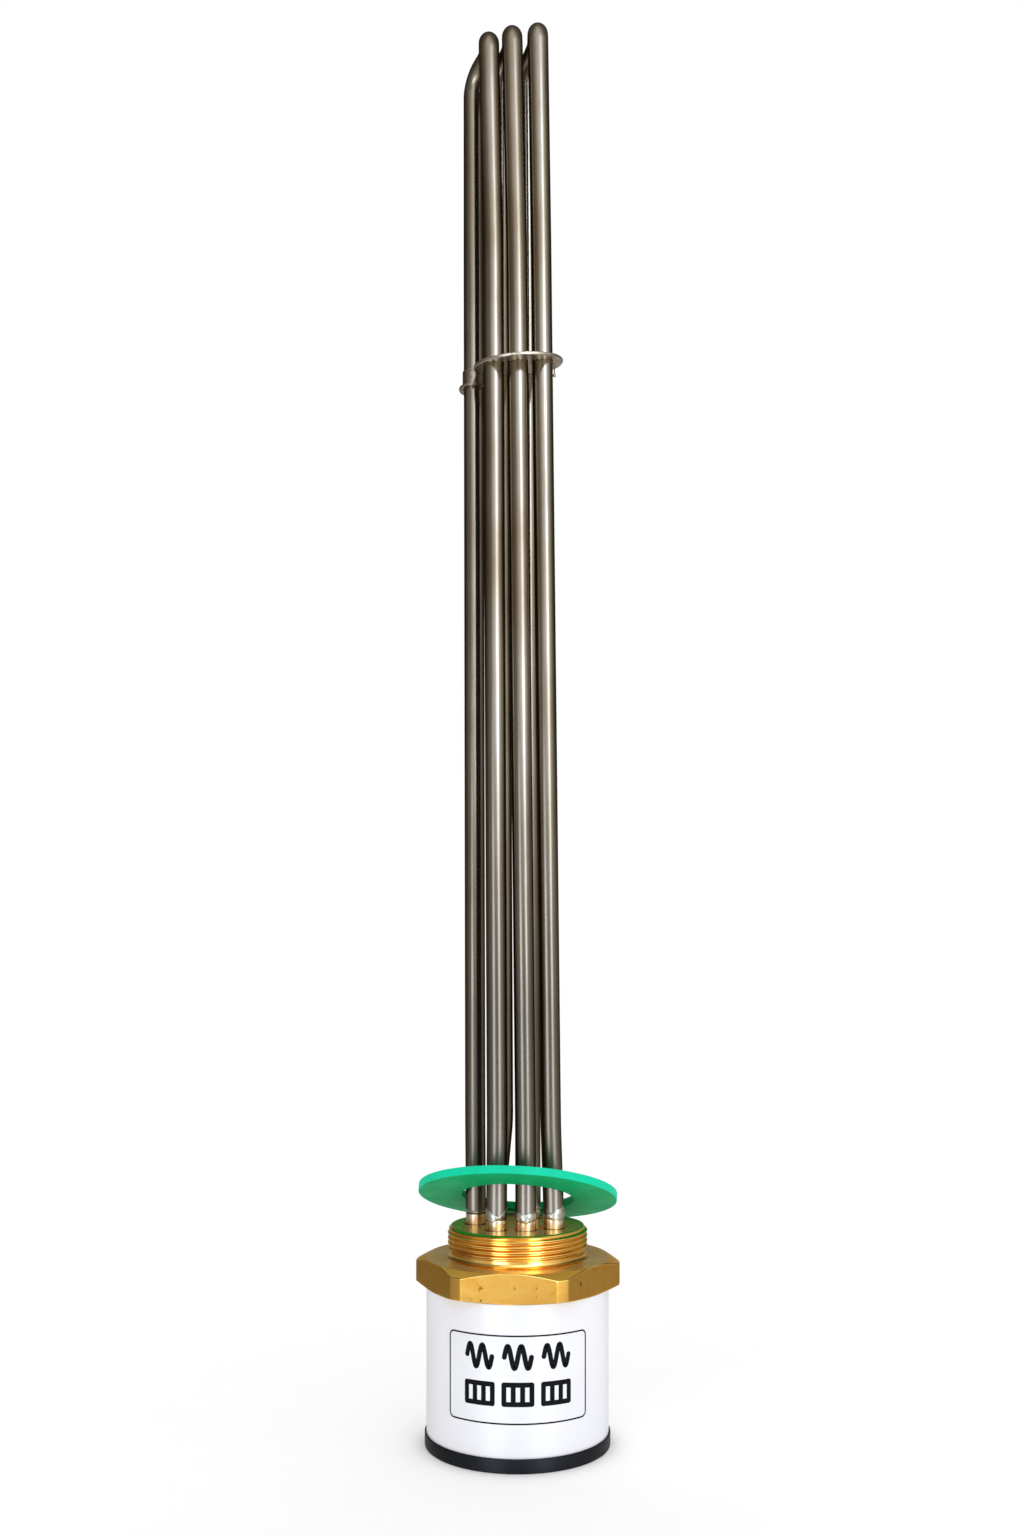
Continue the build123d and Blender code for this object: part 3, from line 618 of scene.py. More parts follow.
class HEATER_OT_plug(bpy.types.Operator):
    """Adds the brass screw plug"""
    bl_idname = "heater.plug"
    bl_label = "Screw plug"

    def execute(self, context):
        settings = context.scene.heater_plug
        turned = turned_brass_material("turned_brass", settings.brass, 0.12, 0.18)
        flats = drawn_brass_material(settings)
        dull = turned_brass_material("dull_turned_brass", settings.dull_brass, 0.22, 0.28, 0.7)
        # The chamfers are darker brown and less metallic than the top face
        worn = turned_brass_material("dark_brown_chamfer_brass", settings.dark_chamfer_brass, 0.4, 0.5, 0.25)
        angles = self.columns(settings)
        patches = Patchwork()
        self.hexagon(patches, settings, angles)
        self.spigot(patches, settings, angles)
        self.deck(patches, angles)
        finishes = [turned, flats, dull, worn]
        patches.make("brass_plug", HEATER, finishes, sharp=24, replaces=("screw_plug",))
        return {"FINISHED"}

    def columns(self, settings):
        """Angles round the plug, close together at the twelve edges between flats and corners."""
        half_flat = math.acos(settings.apothem / settings.corner_radius)
        edge = np.radians([-1.6, -0.9, -0.55, -0.25, 0.0, 0.25, 0.55, 0.9, 1.6])
        clear = 0.03
        inner = np.linspace(-half_flat, half_flat, 27)[1:-1]
        inner = inner[np.abs(inner) < half_flat - clear]
        corner = np.linspace(half_flat, math.pi / 3 - half_flat, 9)[1:-1]
        corner = corner[np.abs(corner - math.pi / 6) < math.pi / 6 - half_flat - clear]
        one = np.concatenate([-half_flat + edge, inner, half_flat + edge, corner])
        return np.concatenate([FRONT_FLAT + k * math.pi / 3 + one for k in range(6)])

    def wall(self, settings, angles):
        """Radius of the hexagon's wall: the softened smaller of apothem / cos(d) and the corner radius,
        -ln(e^(-kp) + e^(-kc)) / k, where d is the angle from the middle of the nearest flat."""
        d = (angles - FRONT_FLAT + math.pi / 6) % (math.pi / 3) - math.pi / 6
        flat, corner, k = settings.apothem / np.cos(d), settings.corner_radius, 9 / MM
        low = np.minimum(flat, corner)
        return low - np.log(np.exp(-k * (flat - low)) + np.exp(-k * (corner - low))) / k

    def hexagon(self, patches, settings, angles):
        """The hexagon's skin: at each angle a profile from its top face over the turned chamfer, down the
        wall and under the lower chamfer. The chamfers fall by a slope times the width by which the wall
        stands out past the flats, and both outer edges are rounded by the curve of corner_curve."""
        wall = self.wall(settings, angles)
        flat, corner = settings.apothem, settings.corner_radius
        soft, start, lip = 0.42 * MM, 0.02, 0.3 * MM
        upper_fall, lower_rise = 2.5 * MM, 1.1 * MM
        width = np.maximum(wall - flat, 1e-5 * MM)
        slope_top, slope_low = upper_fall / (corner - flat), lower_rise / (corner - flat)
        top_edge, low_edge = HEX_TOP - slope_top * width, HEX_BOTTOM + slope_low * width
        share = np.minimum(0.45, soft / np.hypot(width, slope_top * width + 1e-9))
        cut = width * share
        rings = [(r, HEX_TOP) for r in (FLARE_R, FACE_RING_R, flat - lip)]
        rings.append((flat + width * start, HEX_TOP - slope_top * width * start))
        for points in (
            ((wall - cut, top_edge + slope_top * cut), (wall, top_edge), (wall, top_edge - soft)),
            ((wall, low_edge + soft), (wall, low_edge), (wall - cut, low_edge - slope_low * cut)),
        ):
            before, edge, after = [np.stack(point) for point in points]
            rings += [corner_curve(before, edge, after, t) for t in np.linspace(0, 1, 5)]
        rings += [(flat - lip, HEX_BOTTOM), (BOSS_R, HEX_BOTTOM)]
        level = np.ones_like(angles)
        points = np.array([
            np.column_stack([r * np.cos(angles), r * np.sin(angles), z * level]) for r, z in rings
        ])
        # Rows 0 to 2 are the dulled top face, row 3 the darker brown chamfer and row 8 the drawn wall
        faces = grid_faces(len(rings), len(angles), wrap_columns=True)
        row = faces[:, 0] // len(angles)
        finish = np.select([row == 8, row < 3, row == 3], [1, 2, 3], 0)
        for each in range(4):
            patches.take(points, faces[finish == each], each)

    def spigot(self, patches, settings, angles):
        """The neck with its hollow flare, and the thread: a strip that climbs one pitch a turn, whose
        radius runs over crest, flank, root and flank, and is held inside the cones at both its ends."""
        pitch, depth = settings.thread_pitch, settings.thread_depth
        undercut, flare, low_slope = 0.18 * MM, 2.0 * MM, 1.1
        neck = settings.thread_radius - depth - undercut
        q = np.linspace(0, math.pi / 2, 9)
        arc = np.column_stack([neck + flare - flare * np.sin(q), HEX_TOP + flare - flare * np.cos(q)])
        patches.turned(np.concatenate([arc, [(neck, THREAD_START)]]), angles)
        # One pitch of the strip: shares of the pitch between its marks, and of the depth at each mark
        crest, root = 0.42 * MM / pitch, 0.35 * MM / pitch
        flank = (1 - crest - root) / 2
        steps = [flank * 0.12, flank * 0.76, flank * 0.12]
        marks = np.cumsum([0, crest / 2, crest / 2, *steps, root / 2, root / 2, *steps])
        sunk = np.array([0, 0, 0.04, 0.15, 0.88, 0.98, 1.0, 0.98, 0.88, 0.15, 0.04])
        start = THREAD_START - pitch
        turns = int((PLUG_TOP - start) / pitch) + 2
        swept = np.sort(angles % (2 * math.pi))
        along = np.concatenate([swept + 2 * math.pi * turn for turn in range(turns)])
        height = start + pitch * (along[None, :] / (2 * math.pi) + marks[:, None])
        radius = settings.thread_radius - depth * np.broadcast_to(sunk[:, None], height.shape)
        upper_cone = RIM_R + np.maximum(PLUG_TOP - height, 0)
        lower_cone = neck + np.maximum(height - THREAD_START, 0) * low_slope
        radius = np.minimum(radius, np.minimum(upper_cone, lower_cone))
        height = np.clip(height, THREAD_START, PLUG_TOP)
        points = np.stack([radius * np.cos(along), radius * np.sin(along), height], axis=-1)
        rows, columns = height.shape
        # The strip's upper edge is joined to its lower edge one turn further on
        shift, top = len(angles), (rows - 1) * columns
        index = np.arange(columns - shift)
        seam = np.column_stack([top + index[:-1], top + index[1:], index[1:] + shift, index[:-1] + shift])
        patches.take(points, np.concatenate([grid_faces(rows, columns), seam]), 0)

    def deck(self, patches, angles):
        """The deck with its six stepped holes, the chamber under it, and the boss with its groove: flat
        faces with holes, and turned profiles."""
        hole = around(48)
        mouths, bores = [[circle(r, hole, foot) for foot in LEG_FEET] for r in (MOUTH_R, BORE_R)]
        patches.plate(PLUG_TOP, [circle(RIM_R, angles)] + mouths, finish=2)
        for foot in LEG_FEET:
            patches.turned([
                (MOUTH_R, PLUG_TOP), (MOUTH_R, MOUTH_BOTTOM), (SEAT_R, MOUTH_BOTTOM),
                (SEAT_R, SEAT_BOTTOM), (BORE_R, SEAT_BOTTOM), (BORE_R, DECK_BOTTOM),
            ], hole, centre=foot)
        patches.plate(DECK_BOTTOM, [circle(CHAMBER_R, angles)] + bores)
        patches.turned([(CHAMBER_R, DECK_BOTTOM), (CHAMBER_R, BOSS_BOTTOM)], angles)
        lead, earth, earth_r, earth_top = 0.6 * MM, (0.0, 32.588 * MM), 2.55 * MM, BOSS_BOTTOM + 8 * MM
        rims = [circle(BOSS_R - lead, angles), circle(CHAMBER_R, angles), circle(earth_r, hole, earth)]
        patches.plate(BOSS_BOTTOM, rims)
        patches.turned([(earth_r, BOSS_BOTTOM), (earth_r, earth_top), (0, earth_top)], hole, centre=earth)
        groove, middle, half = 37.7 * MM, 69.6 * MM, 1.6 * MM
        patches.turned([
            (BOSS_R - lead, BOSS_BOTTOM), (BOSS_R, BOSS_BOTTOM + lead), (BOSS_R, middle - half),
            (groove, middle - half), (groove, middle + half), (BOSS_R, middle + half), (BOSS_R, HEX_BOTTOM),
        ], angles)


class HEATER_OT_ferrules(bpy.types.Operator):
    """Adds the copper ferrules round the tube ends"""
    bl_idname = "heater.ferrules"
    bl_label = "Ferrules"

    # How much narrower each leg's ferrule is just above the deck, in millimetres
    NARROWER = (0.28, 0.08, 0.1, 0.05, 0.1, 0.1)

    def execute(self, context):
        """A turned sleeve, rounded at its edges, whose outside is narrower just above the deck."""
        settings = context.scene.heater_feet
        material = copper_material(settings)
        outer, soft = settings.ferrule_radius, 0.35 * MM
        waist_low, waist, widening, waist_high = [z * MM for z in (101.6, 102.4, 104.4, 106.2)]
        for number, foot in enumerate(LEG_FEET):
            narrow = outer - self.NARROWER[number] * MM
            profile = [
                (BORE_R, SEAT_BOTTOM), (outer, SEAT_BOTTOM), (outer, waist_low), (narrow, waist),
                ((narrow + outer) / 2, widening), (outer, waist_high), (outer, SHOULDER),
                (BORE_R, SHOULDER), (BORE_R, SEAT_BOTTOM),
            ]
            patches = Patchwork()
            patches.turned(rounded(profile, soft), around(64), centre=foot)
            patches.make(
                f"copper_ferrule_{number + 1}", HEATER, [material],
                replaces=(f"ferrule_{number + 1}",),
            )
        return {"FINISHED"}


class HEATER_OT_braze(bpy.types.Operator):
    """Adds the silver braze that was melted over each joint"""
    bl_idname = "heater.braze"
    bl_label = "Silver braze"

    # For each leg: angles from the side towards the viewer (right is positive), the braze's upper and
    # lower edge there as heights over the shoulder, and its thickness, all in degrees or millimetres
    SHAPES = (
        ((-180, 3.6, -0.4, 0.2), (-95, 6.0, -0.6, 0.22), (-60, 5.2, -0.9, 0.3), (-20, 3.0, -1.1, 0.3),
         (8, 1.7, 0.6, 0.3), (45, 3.9, 3.0, 0.28), (80, 5.6, 4.6, 0.22), (180, 3.6, -0.4, 0.2)),
        ((-180, 3.0, -0.6, 0.25), (-90, 4.1, -0.6, 0.25), (-45, 3.5, -1.0, 0.3), (-5, 2.6, -1.7, 0.42),
         (30, 3.0, -0.9, 0.3), (70, 3.9, -0.6, 0.4), (120, 3.6, -0.5, 0.3), (180, 3.0, -0.6, 0.25)),
        ((-180, 4.5, -0.2, 0.3), (-90, 2.4, 0.2, 0.2), (-50, 2.0, 0.0, 0.22), (-15, 2.6, -0.6, 0.38),
         (25, 4.4, -0.8, 0.35), (75, 6.2, -0.9, 0.45), (120, 5.6, -0.8, 0.45), (180, 4.5, -0.2, 0.3)),
        ((-180, 2.4, 0.8, 0.3), (-100, 4.6, 0.7, 0.34), (-75, 2.6, 0.7, 0.3), (-30, 1.5, 0.6, 0.26),
         (30, 1.5, 0.5, 0.26), (80, 2.0, 0.6, 0.26), (130, 2.2, 0.7, 0.3), (180, 2.4, 0.8, 0.3)),
        ((-180, 1.8, -0.8, 0.3), (-60, 1.6, -0.7, 0.3), (60, 2.0, -0.8, 0.3), (180, 1.8, -0.8, 0.3)),
        ((-180, 2.0, -0.6, 0.3), (-60, 1.8, -0.6, 0.3), (60, 1.7, -0.7, 0.3), (180, 2.0, -0.6, 0.3)),
    )

    def execute(self, context):
        """A skin from lower to upper edge, z = low + v (high - low), of radius R + e sin(pi v)^0.6 with a
        ripple, where e is the thickness, closed by an inner skin just inside the metal it is melted to."""
        settings = context.scene.heater_feet
        material = silver_braze_material(settings)
        angles = around(96)
        facing = np.degrees((angles + math.pi / 2 + math.pi) % (2 * math.pi) - math.pi)
        v = np.linspace(0, 1, 15)[:, None]
        base, sunk, edge_wave, face_wave = 4.78 * MM, 0.12 * MM, 0.05 * MM, 0.03 * MM
        for number, foot in enumerate(LEG_FEET):
            shape = np.array(self.SHAPES[number], float)
            high, low, thick = [np.interp(facing, shape[:, 0], shape[:, k]) * MM for k in (1, 2, 3)]
            ripple = edge_wave * (np.sin(3 * angles + number) + np.sin(7 * angles + 2.1 * number))
            z = SHOULDER + low + ripple * 2 + v * (high - low)
            outer = base + thick * np.sin(math.pi * np.clip(v, 0.001, 0.999)) ** 0.6
            outer = outer + face_wave * np.sin(5 * angles + 9 * v) * np.sin(math.pi * v)
            skins = [
                np.stack([foot[0] + r * np.cos(angles), foot[1] + r * np.sin(angles), z], axis=-1)
                for r in (outer, np.full(z.shape, base - sunk))
            ]
            patches = Patchwork()
            for skin in skins:
                patches.grid(skin, wrap_columns=True)
            for end in (0, -1):
                patches.grid(np.stack([skin[end] for skin in skins]), wrap_columns=True)
            patches.make(
                f"silver_braze_{number + 1}", HEATER, [material], sharp=60,
                replaces=(f"braze_collar_{number + 1}",),
            )
        return {"FINISHED"}


class HEATER_OT_gasket(bpy.types.Operator):
    """Adds the loose tilted gasket"""
    bl_idname = "heater.gasket"
    bl_label = "Gasket"

    def execute(self, context):
        """A ring of rounded section, u = r (cos a, sin a) with a thickness t, first turned about Y by
        the side tilt and then about X by the tilt, and lifted until its far side clears the plug's rim."""
        settings = context.scene.heater_gasket
        tilt, side = math.radians(21.6), math.radians(2.9)
        rest_gap, soft = 0.2 * MM, 0.3 * MM
        centre = PLUG_TOP + RIM_R * math.hypot(math.tan(tilt), math.tan(side)) + rest_gap
        hole, outer, thick = settings.hole_radius, settings.radius, settings.thickness
        middle = (hole + outer) / 2
        r, z = rounded([
            (middle, 0), (hole, 0), (hole, thick), (outer, thick), (outer, 0), (middle, 0),
        ], soft).T
        angles = around(256)
        x, y = r[:, None] * np.cos(angles), r[:, None] * np.sin(angles)
        z = np.broadcast_to(z[:, None], x.shape)
        x, z = x * math.cos(side) + z * math.sin(side), z * math.cos(side) - x * math.sin(side)
        y, z = y * math.cos(tilt) + z * math.sin(tilt), z * math.cos(tilt) - y * math.sin(tilt)
        points = np.stack([x, y, centre + z], axis=-1)
        edge = np.flatnonzero(r > outer - soft - 0.01 * MM)
        patches = Patchwork()
        patches.grid(points[:edge[0] + 1], wrap_columns=True)
        patches.grid(points[edge], wrap_columns=True, finish=1)
        patches.grid(points[edge[-1]:], wrap_columns=True)
        sheet = gasket_material("green_jointing_sheet", settings.green, linear("#009E60"))
        # The outer edge takes a paler, bluer copy of the green: painted light from above
        cut = gasket_material("lit_edge_of_green_sheet", settings.lit_edge_green, linear("#10C89A"))
        patches.make("green_gasket", HEATER, [sheet, cut], replaces=("gasket",))
        return {"FINISHED"}


class HEATER_OT_cover(bpy.types.Operator):
    """Adds the white terminal cover"""
    bl_idname = "heater.cover"
    bl_label = "Terminal cover"

    def execute(self, context):
        """A turned tube with slightly rounded ends."""
        settings = context.scene.heater_cover
        material = moulded_plastic_material("white_moulded_plastic", settings.white, 0.28, "#F5F6FC")
        gap, soft = 0.02 * MM, 0.3 * MM
        low, high = COVER_LOW, HEX_BOTTOM - gap
        profile = [
            (COVER_BORE_R, (low + high) / 2), (COVER_BORE_R, low), (COVER_R, low), (COVER_R, high),
            (COVER_BORE_R, high), (COVER_BORE_R, (low + high) / 2),
        ]
        patches = Patchwork()
        patches.turned(rounded(profile, soft), around(256))
        patches.make("white_cover", HEATER, [material], replaces=("terminal_cover",))
        return {"FINISHED"}


class HEATER_OT_end_cap(bpy.types.Operator):
    """Adds the black end cap"""
    bl_idname = "heater.end_cap"
    bl_label = "End cap"

    def execute(self, context):
        """A turned cup with a rolled rim, and a ring inside that holds the cover's bore."""
        settings = context.scene.heater_cover
        material = moulded_plastic_material(
            "black_moulded_plastic", settings.black, 0.32, "#0C0E12", scratch=0.1, gloss=0.16
        )
        flat, outer, bore, floor, top = 20 * MM, 43.65 * MM, COVER_R + 0.05 * MM, 2.0 * MM, 6.6 * MM
        ring_out, ring_in, ring_top, soft = 40.45 * MM, 38.65 * MM, 5.6 * MM, 0.55 * MM
        profile = rounded([
            (flat, 0), (outer, 0), (outer, top), (bore, top), (bore, floor), (ring_out, floor),
            (ring_out, ring_top), (ring_in, ring_top), (ring_in, floor), (flat, floor),
        ], soft)
        patches = Patchwork()
        patches.turned(np.concatenate([[(0, 0)], profile, [(0, floor)]]), around(256))
        patches.make("black_end_cap", CAP, [material], replaces=("end_cap",))
        return {"FINISHED"}


class HEATER_OT_label(bpy.types.Operator):
    """Adds the label with its printed border and plain signs"""
    bl_idname = "heater.label"
    bl_label = "Label"

    def execute(self, context):
        settings = context.scene.heater_cover
        vinyl = moulded_plastic_material("white_vinyl_film", settings.label, 0.3, "#F1F2F8")
        ink = matt_material("black_printing_ink", settings.ink, "#0B0C0E", 0.75, 1.111 * MM, gloss=0.1)
        self.film(vinyl)
        self.print(ink)
        return {"FINISHED"}

    def film(self, material):
        """A rounded rectangle bent round the cover: (s, z) goes to (R sin(s/R), -R cos(s/R), z)."""
        half, low, high, corner = 37.2 * MM, 21.3 * MM, 61.3 * MM, 2.6 * MM
        inner, outer = COVER_R + 0.02 * MM, COVER_R + 0.14 * MM
        s = np.linspace(-half, half, 97)
        over = np.maximum(np.abs(s) - (half - corner), 0)
        cut = corner - np.sqrt(np.maximum(corner ** 2 - over ** 2, 0))
        v = np.linspace(0, 1, 9)[:, None]
        z = (low + cut) + v * ((high - cut) - (low + cut))
        skins = [
            np.stack([r * np.sin(s / r) + 0 * z, -r * np.cos(s / r) + 0 * z, z], axis=-1)
            for r in (outer, inner)
        ]
        patches = Patchwork()
        for skin in skins:
            patches.grid(skin)
        for edge in (np.s_[0], np.s_[-1], np.s_[:, 0], np.s_[:, -1]):
            patches.grid(np.stack([skin[edge] for skin in skins]))
        patches.make("label_film", HEATER, [material], replaces=("rating_label",))

    def print(self, material):
        """Flat strokes of ink. Each is a line of (s, z) points given a width, and bent round the cover."""
        patches = Patchwork()
        half, low, high, corner = 33.6 * MM, 21.9 * MM, 60.7 * MM, 2.4 * MM
        border_width, sign_width = 0.72 * MM, 2.2 * MM
        q = np.linspace(0, math.pi / 2, 9)
        right, top, bottom = half - corner, high - corner, low + corner
        corners = [
            circle(corner, q + k * math.pi / 2, centre)
            for k, centre in enumerate(((right, top), (-right, top), (-right, bottom), (right, bottom)))
        ]
        border = []
        for arc, following in zip(corners, corners[1:] + corners[:1]):
            border += [arc, self.between(arc[-1], following[0])]
        self.stroke(patches, np.concatenate(border), border_width, closed=True)
        for line in self.signs():
            self.stroke(patches, line * MM, sign_width)
        patches.make("label_print", HEATER, [material])

    def between(self, first, last, count=24):
        """Points on the straight line between two points, without its ends."""
        return first + (last - first) * np.linspace(0, 1, count + 2)[1:-1, None]

    def signs(self):
        """Three coil signs in a row over three circuit signs for a heater, a box with two bars in it, as
        lines of (s, z) in millimetres."""
        lines = []
        coil_reach, coil_height, coil_swing = 6.0, 51.4, 4.9
        reach, low, high, first_bar, second_bar = 6.2, 30.6, 39.2, 4.13, 8.27
        t = np.linspace(-1, 1, 81)
        for middle in (-17.6, 0.0, 17.6):
            wave = coil_height + coil_swing * np.sin(2 * math.pi * (t + 1))
            lines.append(np.column_stack([middle + coil_reach * t, wave]))
            left, right = middle - reach, middle + reach
            for start, end, z in ((left, right, low), (right, left, high)):
                lines.append(np.column_stack([np.linspace(start, end, 25), np.full(25, z)]))
            for x in (left, left + first_bar, left + second_bar, right):
                lines.append(np.column_stack([np.full(15, x), np.linspace(low, high, 15)]))
        return lines

    def stroke(self, patches, line, width, closed=False):
        """A ribbon line +- width/2 along its normals, with round ends, raised off the film: (s, z) goes
        to (r sin(s/R), -r cos(s/R), z), where R is the cover's radius."""
        ahead = np.roll(line, -1, 0) - np.roll(line, 1, 0) if closed else np.gradient(line, axis=0)
        ahead = ahead / np.linalg.norm(ahead, axis=1)[:, None]
        normal = np.column_stack([-ahead[:, 1], ahead[:, 0]])
        half = width / 2
        if closed:
            centre, reach = line, np.full(len(line), half)
        else:
            e = np.linspace(0, math.pi / 2, 6)
            start = line[0] - ahead[0] * (half * np.cos(e))[:, None]
            end = line[-1] + ahead[-1] * (half * np.cos(e[::-1]))[:, None]
            centre = np.concatenate([start, line[1:-1], end])
            reach = np.concatenate([half * np.sin(e), np.full(len(line) - 2, half), half * np.sin(e[::-1])])
            normal = np.concatenate([np.tile(normal[0], (6, 1)), normal[1:-1], np.tile(normal[-1], (6, 1))])
        flat = np.stack([centre + normal * reach[:, None], centre - normal * reach[:, None]])
        s, z = flat[..., 0], flat[..., 1]
        face, back = [
            np.stack([r * np.sin(s / COVER_R), -r * np.cos(s / COVER_R), z], axis=-1)
            for r in (COVER_R + 0.17 * MM, COVER_R + 0.13 * MM)
        ]
        patches.grid(np.stack([face[0], face[1], back[1], back[0]]), wrap_rows=True, wrap_columns=closed)


class HEATER_OT_spacer(bpy.types.Operator):
    """Adds the flanged sleeve, and gives the spacer disc its steel"""
    bl_idname = "heater.spacer"
    bl_label = "Spacer disc and sleeve"

    def execute(self, context):
        """The sleeve is a turned profile carried to its place along the first return leg: the point
        (x, y, z) goes to C + x N + y B + z T, where T is the leg's direction."""
        settings = context.scene.heater_tubes
        material = plain_metal_material("stained_sleeve_steel", "#A39684", "#74644F", 0.24)
        dress(["spacer_disc"], plain_metal_material("stained_disc_steel", "#CDBFA9", "#94846C", 0.28))
        knee = np.array((*RETURN_LEGS[0][1], KNEE / MM)) * MM
        waist = np.array((*RETURN_LEGS[0][2], WAIST / MM)) * MM
        along = (waist - knee) / np.linalg.norm(waist - knee)
        centre = knee + (waist - knee) * (SLEEVE_LOW - KNEE) / (WAIST - KNEE)
        clearance, wall, brim, soft = 0.05 * MM, 0.6 * MM, 1.7 * MM, 0.3 * MM
        bore, outer = settings.radius + clearance, settings.radius + wall
        flange, thick, tall = outer + brim, 1.1 * MM, 8.8 * MM
        profile = rounded([
            (bore, tall / 2), (bore, 0), (flange, 0), (flange, thick), (outer, thick), (outer, tall),
            (bore, tall), (bore, tall / 2),
        ], soft)
        angles = around(72)
        side = np.cross(along, (0.0, 1.0, 0.0))
        side /= np.linalg.norm(side)
        ring = np.cos(angles)[:, None] * side + np.sin(angles)[:, None] * np.cross(along, side)
        r, rise = profile.T[:, :, None, None]
        patches = Patchwork()
        patches.grid(centre + r * ring + rise * along, wrap_columns=True)
        patches.make("flanged_sleeve", HEATER, [material], replaces=("spacer_sleeve",))
        return {"FINISHED"}


class HEATER_OT_inner_parts(bpy.types.Operator):
    """Gives the parts inside the cover, the plug and the tubes their materials"""
    bl_idname = "heater.inner_parts"
    bl_label = "Inner parts"

    def execute(self, context):
        machined = plain_metal_material("machined_brass", "#C8A05A", "#9A7434", 0.28)
        zinc = plain_metal_material("zinc_plated_steel", "#C4C6C8", "#8D9094", 0.3)
        wire = plain_metal_material("resistance_wire", "#8A8580", "#5C5853", 0.4)
        oxide = matt_material("packed_oxide", linear("#E6E4DE"), "#CFCBC0", 0.9, 1.111 * MM)
        ceramic = matt_material("fired_steatite", linear("#E4DDCC"), "#CDC3AC", 0.55, 2 * MM)
        rubber = matt_material("black_ring_rubber", linear("#17181A"), "#0E0F10", 0.6, 1.429 * MM)
        dress([f"terminal_{what}" for what in ("nuts", "washers")] + ["star_link"], machined)
        dress([f"earth_{what}" for what in ("stud", "nuts", "washers")], machined)
        dress(["line_clamps"] + [f"terminal_pin_{n}" for n in range(1, 7)], zinc)
        dress([f"element_{n}_coil" for n in range(1, 4)], wire)
        dress([f"element_{n}_packing" for n in range(1, 4)], oxide)
        dress([f"end_seal_{n}" for n in range(1, 7)], ceramic)
        dress(["cover_ring"], rubber)
        return {"FINISHED"}


